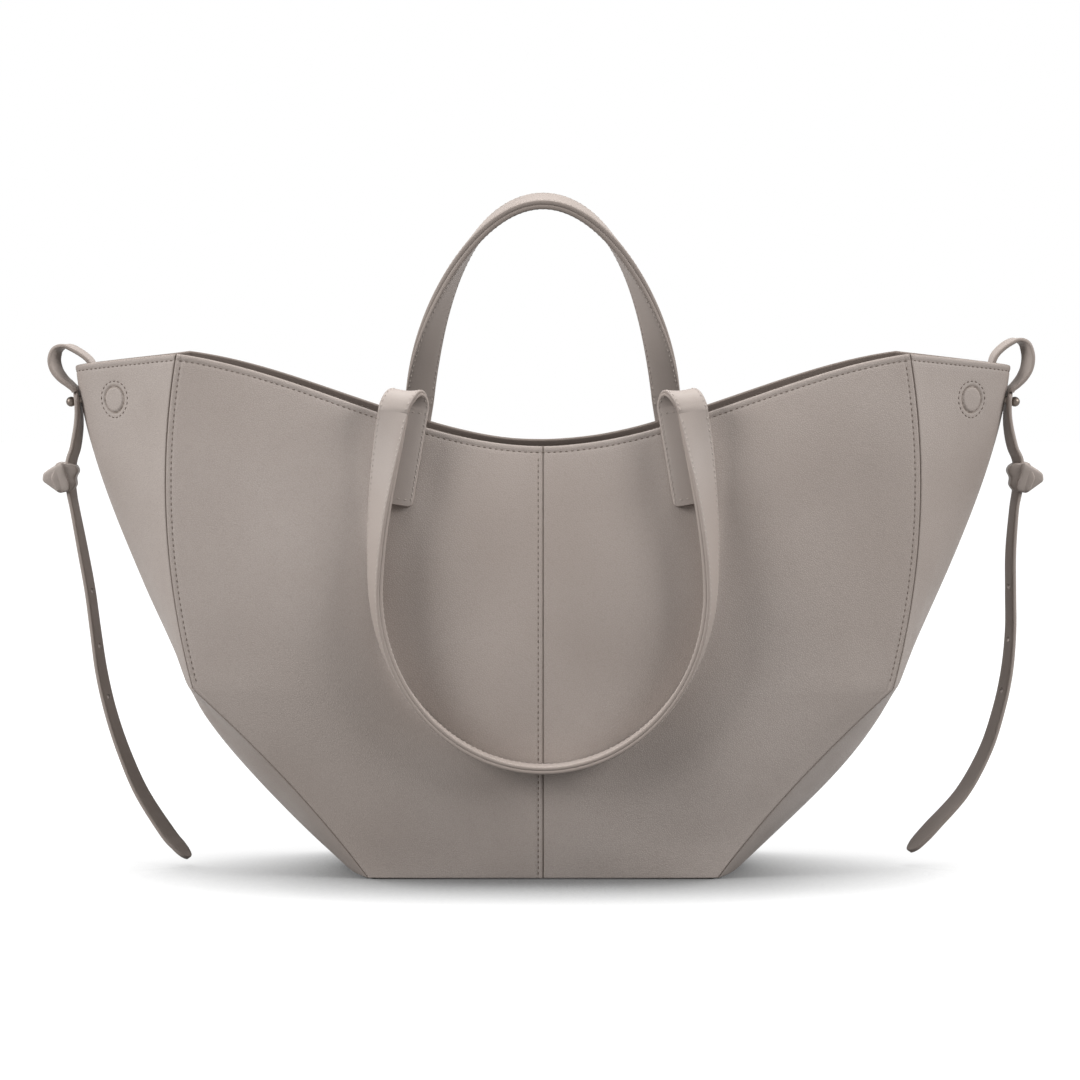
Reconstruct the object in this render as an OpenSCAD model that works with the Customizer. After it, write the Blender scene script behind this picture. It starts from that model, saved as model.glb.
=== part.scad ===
// Winged leather tote: a trapeze-shaped bag with a short upright handle at the back, a long hanging
// handle at the front, magnetic snaps in its wings and a strap tie on each wing tip.
// Millimetres. X runs to the right, Y to the back and Z up. The origin is the middle of the base.

/* [Body] */
// Width of the base between its corner creases
base_w = 191; // [170:1:210]
// Depth of the base between its front and back creases
base_d = 124; // [110:1:140]
// How far the front and back bow out along the floor
base_bulge = 1; // [0:0.5:4]
// How far each end of the base bows out
base_end_bow = 13.5; // [8:0.5:18]
// Height of the foot of each wing
foot_h = 103; // [90:1:115]
// Width across the wing feet, from seam to seam
foot_w = 382; // [360:1:395]
// Depth of the bag at the wing feet
foot_d = 114; // [104:1:124]
// How far the front and back bow out at the height of the wing feet
mid_bulge = 15; // [10:0.5:20]
// How far each gusset bows out halfway up
gusset_bow = 24; // [16:0.5:28]
// How far each gusset bows out at the wing feet
foot_bow = 7; // [4:0.5:10]
// Inward sag of each corner crease
crease_sag = 5; // [0:0.5:8]

/* [Rim and wings] */
// Height of the rim at the middle of the front
mouth_h = 235.5; // [225:0.5:245]
// Height of the rim at the tops of the wing seams
seam_h = 285.5; // [275:0.5:295]
// Width across the tops of the wing seams
seam_w = 400; // [385:1:415]
// Depth of the bag between the tops of its wing seams
seam_d = 90; // [80:1:100]
// Outward bow of each wing seam
seam_bow = 9.8; // [4:0.2:14]
// How far the front and back bow out at the rim
rim_bulge = 7; // [4:0.5:10]
// Width across the wing tips
tip_w = 519; // [500:1:535]
// Height of the wing tips
tip_h = 278; // [268:1:286]
// Outward bow of the fold along each wing
fold_bow = 7.3; // [4:0.1:10]
// Roundness of the wing's fold at the tip, as a share of the depth
fold_round = 0.12; // [0.1:0.01:0.16]

/* [Leather] */
// Thickness of the body leather
leather_t = 2; // [1.6:0.1:2.4]
// Gap left between neighbouring pieces
seam_gap = 0.3; // [0.3:0.05:0.5]
// Height of the facing inside the rim
facing_h = 9; // [7:0.5:11]
// Thickness of the facing
facing_t = 1; // [0.8:0.1:1.2]

/* [Base] */
// Thickness of the stiffening board on the base
board_t = 2.5; // [1.5:0.1:4]
// Distance of the board's edge inside the base leather
board_inset = 3; // [2:0.5:6]

/* [Snaps] */
// Diameter of each snap magnet
magnet_d = 12.5; // [11:0.5:14]
// Thickness of each snap magnet
magnet_t = 2; // [1.5:0.1:2.5]
// Diameter of the leather cover over each magnet
cover_d = 24; // [21:0.5:26]
// Thickness of the leather of each cover
cover_t = 1; // [0.8:0.1:1.4]
// Distance of each snap from the fold of its wing
snap_from_fold = 33.5; // [30:0.5:37]
// Distance of each snap below the rim
snap_below_rim = 22; // [22:0.5:28]
// Clearance of a flat snap from the curved wing
snap_clear = 0.9; // [0.8:0.05:1]

/* [Handles] */
// Width of the handle strap
strap_w = 16.5; // [14:0.5:18]
// Thickness of the handle strap, both layers
strap_t = 4.5; // [3.6:0.1:5]
// Distance of each tab's foot from the middle
tab_foot_x = 79; // [72:1:84]
// Height of each tab's foot
tab_foot_z = 203.5; // [196:0.5:210]
// Distance of each tab's top from the middle
tab_top_x = 70.5; // [66:0.5:76]
// Height at which each tab ends and its strap begins to bend
tab_top_z = 254.5; // [252:0.5:258]
// Radius of the strap's bend over each tab
bend_r = 6; // [5.5:0.1:8]
// Height of the handle pivots
pivot_z = 257.5; // [256:0.5:262]
// Drop of the hanging front handle below its pivots
front_drop = 195.5; // [180:0.5:205]
// Spread of the front handle's legs, between middles
front_spread = 181; // [176:1:190]
// Distance of the front handle's legs from the middle at their tops
front_leg_x = 81; // [79:0.5:83]
// Height of the rounded bottom of the front handle's loop
front_bowl = 100; // [90:1:110]
// How far the hanging front handle stands out at its lowest point
front_sway = 16.5; // [15.5:0.5:24]
// Rise of the back handle above its pivots, along its own slope
back_rise = 116; // [100:1:130]
// Forward lean of the back handle
back_lean = 16; // [8:1:20]
// Thickness of the backing patch behind each tab
backing_t = 1; // [0.8:0.1:1.4]
// Width of each backing patch
backing_w = 26; // [22:1:30]

/* [Ties] */
// Width of each tie strap
tie_w = 11; // [9:0.5:12]
// Thickness of each tie strap
tie_t = 2.6; // [2:0.1:3]
// Depth of each stud below its wing tip
stud_below_tip = 19; // [17:0.5:22]
// Diameter of each stud's neck
neck_d = 4; // [3.4:0.1:4.4]
// Diameter of each stud's ball
ball_d = 5.6; // [5:0.1:6.4]
// Diameter of the screw head inside each wing
screw_d = 6; // [5.4:0.1:6.4]
// How far each stud's neck reaches past the leather, inside the wing
neck_reach = 2.4; // [2.2:0.1:3]
// Diameter of the punched holes in each tail
punch_d = 3; // [2.4:0.1:3.6]
// How far each tie swings to either side, in degrees
tie_swing = 60; // [40:5:60]

/* [Hidden] */

taupe = [0.63, 0.59, 0.57];
dark_taupe = [0.46, 0.42, 0.4];
edge_paint = [0.5, 0.46, 0.44];
steel = [0.75, 0.75, 0.77];
board_grey = [0.35, 0.34, 0.33];
$fn = 64;

// Curve through three heights: the floor at 0, the wing feet at 1 and the rim at 2
function through(a, b, c, v) = a * (v - 1) * (v - 2) / 2 - b * v * (v - 2) + c * v * (v - 1) / 2;
function unit(v) = v / norm(v);
function lerp(a, b, k) = a + (b - a) * k;
function steps(a, b, n) = [for (i = [0:n]) a + (b - a) * i / n];

// Outline of the bag: creases up to the wing feet, then the wing seams and the folds of the wings
function crease_x(t) = lerp(base_w, foot_w, t) / 2 - crease_sag * 4 * t * (1 - t);
function seam_x(s) = lerp(foot_w, seam_w, s) / 2 + seam_bow * 4 * s * (1 - s);
function edge_x(v) = v <= 1 ? crease_x(v) : seam_x(v - 1);
function half_d(v) = through(base_d, foot_d, seam_d, v) / 2;
function fold_x(s) = lerp(foot_w / 2 + foot_bow, tip_w / 2, s) + fold_bow * 4 * s * (1 - s) * (0.5 + s);
function rim_h(u) = lerp(mouth_h, seam_h, 2.5 * pow(u, 2) - 1.5 * pow(u, 3));
function level(u, v) = v <= 1 ? foot_h * v : foot_h + (v - 1) * (rim_h(abs(u)) - foot_h);

// The skins. Front: u from the middle, 0, to the seam, 1. Gusset and wing: from the front, -1, to the back, 1
function front(u, v) = [u * edge_x(v),
    -half_d(v) - through(base_bulge, mid_bulge, rim_bulge, v) * (1 - pow(abs(u), 2.2)), level(u, v)];
function gusset(g, t) = [crease_x(t) + through(base_end_bow, gusset_bow, foot_bow, 2 * t) * (1 - g * g),
    g * half_d(t), foot_h * t];
function fold_share(a, s) = let (r = fold_round, k = pow(max(0, 1 - s), 1.5),
    v_share = 1 - (sqrt(a * a + r * r) - r) / (sqrt(1 + r * r) - r)) lerp(v_share, 1 - a * a, k);
function wing(w, s) = [lerp(seam_x(s), fold_x(s), fold_share(abs(w), s)), w * half_d(1 + s),
    lerp(foot_h + s * (tip_h - foot_h), foot_h + s * (seam_h - foot_h), abs(w))];

// Outward normals, and the shared direction of two skins where they meet
probe = 0.004;
function normal_of(f, p, q) =
    unit(cross(f(p + probe, q) - f(p - probe, q), f(p, q + probe) - f(p, q - probe)));
function mitre(a, b) = (a + b) / (1 + a * b);
function corner(a, b, c) = (cross(a, b) + cross(b, c) + cross(c, a)) / (a * cross(b, c));
front_n = function (u, v) normal_of(function (p, q) front(p, q), u, v);
gusset_n = function (g, t) normal_of(function (p, q) gusset(p, q), g, t);
wing_n = function (w, s) normal_of(function (p, q) wing(p, q), w, s);
function flip_y(n, side) = [n[0], side * n[1], n[2]];
// At an edge the direction is shared by two skins, and at a wing's foot by three
near = 0.005;
function edge_way(v) = v < 1 - near ? mitre(front_n(1, v), gusset_n(-1, v))
    : v > 1 + near ? mitre(front_n(1, v), wing_n(-1, v - 1))
    : corner(front_n(1, 1), gusset_n(-1, 1), wing_n(-1, 0));
function front_way(u, v) = abs(u) < 1 - near ? front_n(u, v)
    : let (m = edge_way(v)) [sign(u) * m[0], m[1], m[2]];
function gusset_way(g, t) = abs(g) > 1 - near ? flip_y(edge_way(t), -sign(g))
    : t > 1 - near ? mitre(gusset_n(g, 1), wing_n(g, 0)) : gusset_n(g, t);
function wing_way(w, s) = abs(w) > 1 - near ? flip_y(edge_way(1 + s), -sign(w))
    : s < near ? mitre(gusset_n(w, 1), wing_n(w, 0)) : wing_n(w, s);

// Where a height and a distance from the middle fall on the front skin
function front_uv(x, z) = let (s = (z - foot_h) / (seam_h - foot_h), u0 = x / seam_x(s),
    v0 = 1 + (z - foot_h) / (rim_h(u0) - foot_h), u = x / edge_x(v0))
    [u, 1 + (z - foot_h) / (rim_h(u) - foot_h)];

// A sheet of leather between two offsets inside a skin, with grid lines at ps across and qs up
module sheet(skin, way, ps, qs, outer, inner) {
    n = len(ps);
    m = len(qs);
    points = [for (o = [outer, inner]) for (q = qs) for (p = ps) skin(p, q) - o * way(p, q)];
    function at(layer, j, i) = layer * n * m + j * n + i;
    function quad(a, b, c, d) = [[a, d, c], [a, c, b]];
    faces = [
        for (j = [0:m - 2]) for (i = [0:n - 2]) each [
            each quad(at(0, j, i), at(0, j, i + 1), at(0, j + 1, i + 1), at(0, j + 1, i)),
            each quad(at(1, j, i + 1), at(1, j, i), at(1, j + 1, i), at(1, j + 1, i + 1))],
        for (i = [0:n - 2]) each [
            each quad(at(1, 0, i), at(1, 0, i + 1), at(0, 0, i + 1), at(0, 0, i)),
            each quad(at(0, m - 1, i), at(0, m - 1, i + 1), at(1, m - 1, i + 1), at(1, m - 1, i))],
        for (j = [0:m - 2]) each [
            each quad(at(1, j, 0), at(0, j, 0), at(0, j + 1, 0), at(1, j + 1, 0)),
            each quad(at(0, j, n - 1), at(1, j, n - 1), at(1, j + 1, n - 1), at(0, j + 1, n - 1))]];
    polyhedron(points, faces, convexity = 6);
}

// A flat strap along a list of [point, width direction, share of the width], between two heights
// above its middle plane
module strap(route, width, low, high) {
    n = len(route);
    rings = [for (k = [0:n - 1])
        let (t = unit(route[min(k + 1, n - 1)][0] - route[max(k - 1, 0)][0]),
            w0 = route[k][1], w = unit(w0 - t * (w0 * t)), up = cross(t, w))
        for (c = [[-1, low], [1, low], [1, high], [-1, high]])
            route[k][0] + w * c[0] * width * (is_undef(route[k][2]) ? 1 : route[k][2]) / 2 + up * c[1]];
    last = 4 * (n - 1);
    faces = [[0, 1, 2], [0, 2, 3], [last, last + 2, last + 1], [last, last + 3, last + 2],
        for (k = [0:n - 2]) for (e = [0:3]) let (a = 4 * k + e, b = 4 * k + (e + 1) % 4)
            each e == 2 ? [[a, a + 4, b], [a + 4, b + 4, b]] : [[a, a + 4, b + 4], [a, b + 4, b]]];
    polyhedron(rings, faces, convexity = 8);
}

module to_left() { mirror([1, 0, 0]) children(); }
module to_back() { mirror([0, 1, 0]) children(); }

// Grid margins that leave the seam gap between neighbours
u_gap = seam_gap / base_w;
g_gap = seam_gap / foot_d;
front_ps = [for (u = steps(0, 1, 10)) min(max(u, u_gap), 1 - u_gap)];
ring_ps = [for (g = steps(-1, 1, 16)) min(max(g, g_gap - 1), 1 - g_gap)];
z_gap = seam_gap / foot_h / 2;

module body_panel() {
    color(taupe)
        sheet(function (u, v) front(u, v), function (u, v) front_way(u, v), front_ps,
            [each steps(0, 1, 6), each steps(1 + 1 / 9, 2, 8)], 0, leather_t);
}

module side_gusset() {
    color(taupe)
        sheet(function (g, t) gusset(g, t), function (g, t) gusset_way(g, t), ring_ps,
            [for (t = steps(0, 1, 6)) min(t, 1 - z_gap)], 0, leather_t);
}

// A place on the fold of the wing, and the frame whose Z leaves the wing at right angles
stud_s = 1 - stud_below_tip / (tip_h - foot_h);
stud_p = [fold_x(stud_s), 0, foot_h + stud_s * (tip_h - foot_h)];
stud_n = wing_n(0, stud_s);
stud_tilt = atan2(stud_n[0], stud_n[2]);
module at_stud() { translate(stud_p) rotate([0, stud_tilt, 0]) children(); }

module wing_panel() {
    color(taupe)
        difference() {
            sheet(function (w, s) wing(w, s), function (w, s) wing_way(w, s), ring_ps,
                [z_gap, each steps(1 / 9, 8 / 9, 7), 0.95, 1], 0, leather_t);
            at_stud() cylinder(d = neck_d + 2 * seam_gap, h = 12, center = true);
        }
}

// Flat pieces on the base: the outline follows the skins, drawn in
base_side_inset = leather_t;
module base_outline(front_inset, side_inset) {
    sides = [for (g = steps(-1, 1, 12)) let (p = gusset(g, 0))
        [p[0] - side_inset, p[1] * (1 - front_inset / half_d(0))]];
    polygon([each sides, for (i = [len(sides) - 1:-1:0]) [-sides[i][0], sides[i][1]]]);
}
module base_panel() {
    color(taupe) linear_extrude(leather_t) base_outline(leather_t + seam_gap, base_side_inset);
}
module base_board() {
    color(board_grey) translate([0, 0, leather_t + seam_gap]) linear_extrude(board_t)
        base_outline(leather_t + seam_gap + board_inset, base_side_inset + board_inset);
}

// Facings: narrow strips inside the rim. Their rows run from the foot of the facing, 0, to the rim, 1
facing_out = leather_t + seam_gap;
function front_row(u, q) = 2 - facing_h * (1 - q) / (rim_h(abs(u)) - foot_h);
function wing_row(w, q) = 1 - facing_h * (1 - q) / (lerp(tip_h, seam_h, abs(w)) - foot_h);
module front_facing() {
    color(dark_taupe)
        sheet(function (u, q) front(u, front_row(u, q)), function (u, q) front_way(u, front_row(u, q)),
            [for (u = steps(-1, 1, 20)) min(max(u, u_gap - 1), 1 - u_gap)], steps(0, 1, 2),
            facing_out, facing_out + facing_t);
}
module wing_facing() {
    front_half = [for (w = steps(-1, -0.25, 6)) max(w, g_gap - 1)];
    halves = [front_half, [for (i = [6:-1:0]) -front_half[i]]];
    color(dark_taupe)
        for (half = halves)
            sheet(function (w, q) wing(w, wing_row(w, q)), function (w, q) wing_way(w, wing_row(w, q)),
                half, steps(0, 1, 2), facing_out, facing_out + facing_t);
}

// Snaps: a magnet inside the wing, and a moulded cover over it. This is the right front one
snap_reach = norm([seam_w / 2, -seam_d / 2, seam_h] - [tip_w / 2, 0, tip_h]);
snap_w = -snap_from_fold / snap_reach;
snap_s = 1 - snap_below_rim / (seam_h - foot_h);
snap_in = -wing_n(snap_w, snap_s);
module at_snap() {
    translate(wing(snap_w, snap_s) + snap_in * (leather_t + snap_clear))
        rotate([0, acos(snap_in[2]), atan2(snap_in[1], snap_in[0])]) children();
}
module snap_magnet() {
    color(steel) at_snap() cylinder(d = magnet_d, h = magnet_t);
}
module snap_cover() {
    pocket_d = magnet_d + 2 * seam_gap;
    pocket_h = magnet_t + seam_gap;
    color(dark_taupe) at_snap() rotate_extrude()
        polygon([[pocket_d / 2, 0], [cover_d / 2, 0], [cover_d / 2, cover_t],
            [pocket_d / 2 + cover_t, pocket_h + cover_t], [0, pocket_h + cover_t], [0, pocket_h],
            [pocket_d / 2, pocket_h]]);
}

// Handle tabs: the strap's ends, sewn flat on the outside of the front. This is the right one
function tab_x(z) = lerp(tab_foot_x, tab_top_x, (z - tab_foot_z) / (tab_top_z - tab_foot_z));
tab_dir = unit([tab_top_x - tab_foot_x, 0, tab_top_z - tab_foot_z]);
tab_across = [tab_dir[2], 0, -tab_dir[0]];
function tab_place(a, b) = [tab_foot_x, 0, tab_foot_z] + tab_across * a + tab_dir * b;
tab_skin = function (a, b) let (p = tab_place(a, b), uv = front_uv(p[0], p[2])) front(uv[0], uv[1]);
tab_way = function (a, b) let (p = tab_place(a, b), uv = front_uv(p[0], p[2])) front_n(uv[0], uv[1]);
tab_len = norm([tab_top_x - tab_foot_x, tab_top_z - tab_foot_z]);
tab_out = seam_gap + strap_t;
module handle_tab() {
    color(taupe)
        sheet(tab_skin, tab_way, steps(-strap_w / 2, strap_w / 2, 2), steps(0, tab_len, 6),
            -tab_out, -seam_gap);
}
// The patch stops below the facing, whose foot follows the rim
backing_len = rim_h((tab_top_x - backing_w / 2) / seam_x(1)) - facing_h - 2 * seam_gap - tab_foot_z;
module handle_backing() {
    out = leather_t + seam_gap;
    color(dark_taupe)
        sheet(tab_skin, tab_way, steps(-backing_w / 2, backing_w / 2, 3), steps(-4, backing_len, 4),
            out, out + backing_t);
}

// Handle pivots and the stretch of strap that bends over each tab
tab_end = tab_skin(0, tab_len) + tab_way(0, tab_len) * (seam_gap + strap_t / 2);
pivot_y = tab_end[1] - bend_r;
lead = pivot_z - tab_top_z;
leg_top = [front_leg_x, pivot_y - bend_r, tab_top_z];
// Front handle: two straight legs that close into a half ellipse. k runs from -1, the left top, to 1
leg_share = 0.4;
front_bottom = leg_top[2] - front_drop + lead;
leg_foot_z = front_bottom + front_bowl;
function front_leg(f) = [lerp(leg_top[0], front_spread / 2, sin(90 * f)), lerp(leg_top[2], leg_foot_z, f)];
function front_xz(k) = abs(k) > 1 - leg_share
    ? let (p = front_leg((1 - abs(k)) / leg_share)) [sign(k) * p[0], p[1]]
    : let (a = 90 * k / (1 - leg_share)) [front_spread / 2 * sin(a), leg_foot_z - front_bowl * cos(a)];
function front_path(k) = let (p = front_xz(k), drop = (leg_top[2] - p[1]) / (leg_top[2] - front_bottom))
    [p[0], leg_top[1] - front_sway * sin(90 * drop), p[1]];
function front_width(k) = let (r = (front_xz(k)[1] - front_bottom) / (leg_top[2] - front_bottom),
    turn = 85 * (0.25 * r + 0.75 * pow(r, 3.2))) [sign(k) * sin(turn), cos(turn), 0];
front_route = [for (k = steps(-1, 1, 44)) [front_path(k), k == 0 ? [0, 1, 0] : front_width(k)]];
layer_gap = seam_gap / 2;
module front_handle_outer() { color(taupe) strap(front_route, strap_w, -strap_t / 2, -layer_gap); }
module front_handle_inner() { color(taupe) strap(front_route, strap_w, layer_gap, strap_t / 2); }

// The front bend starts in line with the tab, goes over the pivot and comes down in line with the leg
bend_rise = lead + bend_r;
tab_run = tab_end - tab_skin(0, tab_len - 1) - tab_way(0, tab_len - 1) * (seam_gap + strap_t / 2);
tab_width = unit(tab_skin(1, tab_len) - tab_skin(-1, tab_len));
bend_start = tab_run / tab_run[2] * bend_rise * PI;
leg_run = front_path(1) - front_path(1 - 1 / 22);
bend_end = leg_run / leg_run[2] * -bend_rise * PI;
function front_bend(k) = [lerp(tab_top_x, front_leg_x, k * k * (3 - 2 * k)), pivot_y + bend_r * cos(180 * k),
        tab_top_z + bend_rise * sin(180 * k)]
    + [bend_start[0], bend_start[1], 0] * k * pow(1 - k, 2) - [bend_end[0], bend_end[1], 0] * k * k * (1 - k);
// Each bend is straight for a little way at both ends, so that its faces meet their neighbours squarely
bend_straight = 1.6;
bend_clear = seam_gap + 0.35;
module front_handle_bend() {
    route = [[tab_end + tab_run * bend_clear, tab_width], [tab_end + tab_run * bend_straight, tab_width],
        for (k = steps(0.12, 0.88, 12)) [front_bend(k), lerp(tab_width, front_width(1), k)],
        [leg_top + unit(leg_run) * bend_straight, front_width(1)],
        [leg_top + unit(leg_run) * seam_gap, front_width(1)]];
    color(taupe) strap(route, strap_w, -strap_t / 2, strap_t / 2);
}

// Back handle: one arch that leans forward over the mouth. turn runs from -90, the left foot, to 90
arch_mix = 0.35;
arch_rise = back_rise - lead;
back_low = [tab_end[0], -tab_end[1], tab_end[2]];
low_way = unit([tab_run[0], -tab_run[1], tab_run[2]]);
foot_way = unit([-arch_mix / 2 * tab_top_x / arch_rise, -sin(back_lean), cos(back_lean)]);
back_foot = back_low + unit(low_way + foot_way) * 2 * lead;
function arch(turn) = let (h = arch_rise * cos(turn))
    [back_foot[0] * ((1 - arch_mix) * sin(turn) + arch_mix * sqrt(2) * sin(turn / 2)),
        back_foot[1] - h * sin(back_lean), back_foot[2] + h * cos(back_lean)];
function arch_width(turn) = let (a = 90 * pow(1 - cos(turn), 1.3))
    [-sign(turn) * sin(a), cos(a) * cos(back_lean), cos(a) * sin(back_lean)];
back_route = [for (a = steps(-90, 90, 40)) [arch(a), arch_width(a)]];
module back_handle_outer() { color(taupe) strap(back_route, strap_w, layer_gap, strap_t / 2); }
module back_handle_inner() { color(taupe) strap(back_route, strap_w, -strap_t / 2, -layer_gap); }
module back_handle_bend() {
    high_way = unit(back_route[39][0] - back_foot);
    low_width = [tab_width[0], -tab_width[1], tab_width[2]];
    route = [[back_low + low_way * bend_clear, low_width], [back_low + low_way * bend_straight, low_width],
        [back_foot - high_way * bend_straight, [1, 0, 0]], [back_foot - high_way * bend_clear, [1, 0, 0]]];
    color(taupe) strap(route, strap_w, -strap_t / 2, strap_t / 2);
}

// Ties. A route point is [outwards from the stud, back, up from the stud, turn of the strap's width,
// share of the width]
tie_seat = seam_gap + tie_t / 2;
loop_route = [[-10.6, 0, 6.5, 4], [-9.9, 0, 12, 5], [-9.3, 0, 17, 7], [-6.6, 0, 22.5, 12],
    [-0.4, 0, 27.3, 18],
    [6, 0, 30, 24], [11, 0, 28.2, 28], [13, 0, 23, 30], [11.8, 0, 17.2, 30], [8.4, 0, 12.4, 26],
    [4.2, 0, 8.8, 20], [1.4, 0, 6, 14], [0.5, 0, 2, 8], [0.1, 0, 0, 6]];
left_strap_route = [[0, 0, 0, 6], [-0.5, 0, -7, 10], [-0.3, 0, -14, 15], [0.6, -0.3, -21, 19],
    [1.7, -0.5, -27, 21], [3.7, -0.6, -33.4, 22]];
right_strap_route = [[0, 0, 0, 6], [-0.3, 0, -7, 10], [0.2, 0, -14, 15], [1.4, -0.3, -21, 19],
    [3, -0.5, -27, 21], [5.6, -0.6, -33.2, 22]];
left_tail_route = [[3.6, -0.8, -52, 16], [1.9, -1, -61, 14], [-2.4, -1.5, -84, 18], [-6.3, -2, -106, 19],
    [-9.2, -2.5, -128, 20], [-12.4, -3, -151, 24], [-17.4, -4, -173, 26], [-24.6, -5, -195, 30],
    [-34.6, -6, -218, 36], [-48.6, -7, -240, 42], [-55.3, -7.4, -248, 45, 0.9], [-59, -7.7, -252, 47, 0.7],
    [-61.4, -7.9, -254.3, 48, 0.35]];
right_tail_route = [[4.6, -0.8, -52, 16], [2.4, -1, -61, 14], [0.3, -1.5, -84, 18], [0.3, -2, -106, 19],
    [0.6, -2.5, -128, 20], [-1.4, -3, -151, 24], [-6.1, -4, -173, 26], [-13.3, -5, -195, 30],
    [-25.5, -6, -218, 36], [-41.6, -7, -237, 42], [-48.4, -7.4, -244.5, 45, 0.9],
    [-52.1, -7.7, -248.3, 47, 0.7], [-54.6, -7.9, -250.6, 48, 0.35]];
// Holes along each tail, as heights below the stud
left_holes = [-106, -136, -165];
right_holes = [-103, -133, -162];
knot_spots = [[2.4, -38.5], [9.2, -35.2], [17, -41.8], [18.4, -44], [10.4, -50.6], [3.2, -47.6]];

seat_p = stud_p + stud_n * tie_seat;
function tie_point(p) = [seat_p[0] + p[0], p[1], seat_p[2] + p[2]];
function tie_route(route) = [for (p = route) [tie_point(p), [-sin(p[3]), cos(p[3]), 0], p[4]]];
module tie_strip(route) { strap(tie_route(route), tie_w, -tie_t / 2, tie_t / 2); }
// The place on a route at a height, for the holes
function route_at(route, z) = let (
    k = [for (i = [0:len(route) - 2]) if (route[i][2] >= z && route[i + 1][2] < z) i][0],
    f = (z - route[k][2]) / (route[k + 1][2] - route[k][2])) lerp(route[k], route[k + 1], f);

// The loop ends where the corners of the swinging strap pass it
loop_end_r = tie_w / 2 / cos(tie_swing / 2) + seam_gap;
module tie_loop() {
    color(taupe) difference() {
        tie_strip(loop_route);
        at_stud() cylinder(r = loop_end_r, h = 4 * tie_w, center = true);
    }
}
module tie_strap(route) {
    color(taupe) difference() {
        union() {
            tie_strip(route);
            at_stud() translate([0, 0, tie_seat - tie_t / 2]) cylinder(d = tie_w, h = tie_t);
        }
        at_stud() cylinder(d = neck_d + 0.2, h = 4 * tie_w, center = true);
    }
}
module tie_knot(shift) {
    color(taupe) hull() for (p = knot_spots) for (y = [-5, 5])
        translate(tie_point([p[0] + shift, y, p[1], 0])) sphere(r = 2.5, $fn = 12);
}
module tie_tail(route, holes) {
    color(taupe) difference() {
        tie_strip(route);
        for (z = holes) {
            p = route_at(route, z);
            translate(tie_point(p)) rotate([0, 90, p[3]]) cylinder(d = punch_d, h = 3 * tie_t, center = true);
        }
    }
}
neck_low = -leather_t - neck_reach;
thread_depth = 3;
module stud() {
    neck_top = tie_seat + tie_t / 2 + seam_gap;
    ball_h = neck_top + ball_d * 0.4;
    color(steel) at_stud() difference() {
        union() {
            translate([0, 0, neck_low]) cylinder(d = neck_d, h = ball_h - neck_low);
            intersection() {
                translate([0, 0, ball_h]) sphere(d = ball_d);
                translate([0, 0, neck_top]) cylinder(d = 2 * ball_d, h = ball_d);
            }
        }
        translate([0, 0, neck_low - 1]) cylinder(d = neck_d / 2, h = thread_depth + 1);
    }
}
module stud_screw() {
    head_h = 1;
    color(steel) at_stud() translate([0, 0, neck_low - seam_gap]) {
        translate([0, 0, -head_h]) cylinder(d = screw_d, h = head_h);
        translate([0, 0, -head_h / 2]) cylinder(d = neck_d / 2 - 0.1, h = thread_depth);
    }
}

to_left() body_panel();  // front_panel_left
body_panel();  // front_panel_right
to_left() to_back() body_panel();  // back_panel_left
to_back() body_panel();  // back_panel_right
to_left() side_gusset();  // side_gusset_left
side_gusset();  // side_gusset_right
to_left() wing_panel();  // wing_left
wing_panel();  // wing_right
base_panel();
base_board();
front_facing();  // rim_facing_front
to_back() front_facing();  // rim_facing_back
to_left() wing_facing();  // rim_facing_wing_left
wing_facing();  // rim_facing_wing_right
to_left() snap_magnet();  // snap_magnet_left_front
to_left() to_back() snap_magnet();  // snap_magnet_left_back
snap_magnet();  // snap_magnet_right_front
to_back() snap_magnet();  // snap_magnet_right_back
to_left() snap_cover();  // snap_cover_left_front
to_left() to_back() snap_cover();  // snap_cover_left_back
snap_cover();  // snap_cover_right_front
to_back() snap_cover();  // snap_cover_right_back
to_left() handle_tab();  // front_handle_tab_left
handle_tab();  // front_handle_tab_right
to_left() to_back() handle_tab();  // back_handle_tab_left
to_back() handle_tab();  // back_handle_tab_right
to_left() handle_backing();  // front_handle_backing_left
handle_backing();  // front_handle_backing_right
to_left() to_back() handle_backing();  // back_handle_backing_left
to_back() handle_backing();  // back_handle_backing_right
to_left() front_handle_bend();  // front_handle_bend_left
front_handle_bend();  // front_handle_bend_right
to_left() back_handle_bend();  // back_handle_bend_left
back_handle_bend();  // back_handle_bend_right
front_handle_outer();
front_handle_inner();
back_handle_outer();
back_handle_inner();
to_left() tie_loop();  // left_tie_loop
to_left() tie_strap(left_strap_route);  // left_tie_strap
to_left() tie_knot(-1);  // left_tie_knot
to_left() tie_tail(left_tail_route, left_holes);  // left_tie_tail
to_left() stud();  // left_stud
to_left() stud_screw();  // left_stud_screw
tie_loop();  // right_tie_loop
tie_strap(right_strap_route);  // right_tie_strap
tie_knot(0);  // right_tie_knot
tie_tail(right_tail_route, right_holes);  // right_tie_tail
stud();  // right_stud
stud_screw();  // right_stud_screw
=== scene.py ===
# %% [markdown]
# # A winged leather tote
# The bag is a trapeze-shaped tote of fine-grained leather: two front and two back panels, a gusset and
# a folded wing at each side, a short upright handle, a long hanging one, and a strap tie on each wing.
# The solids come packed as a fixed frame. Every piece here is laid over them in the same place.

# %% Load the frame
import math

import bpy
import numpy as np
from mathutils import Matrix, Vector


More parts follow.
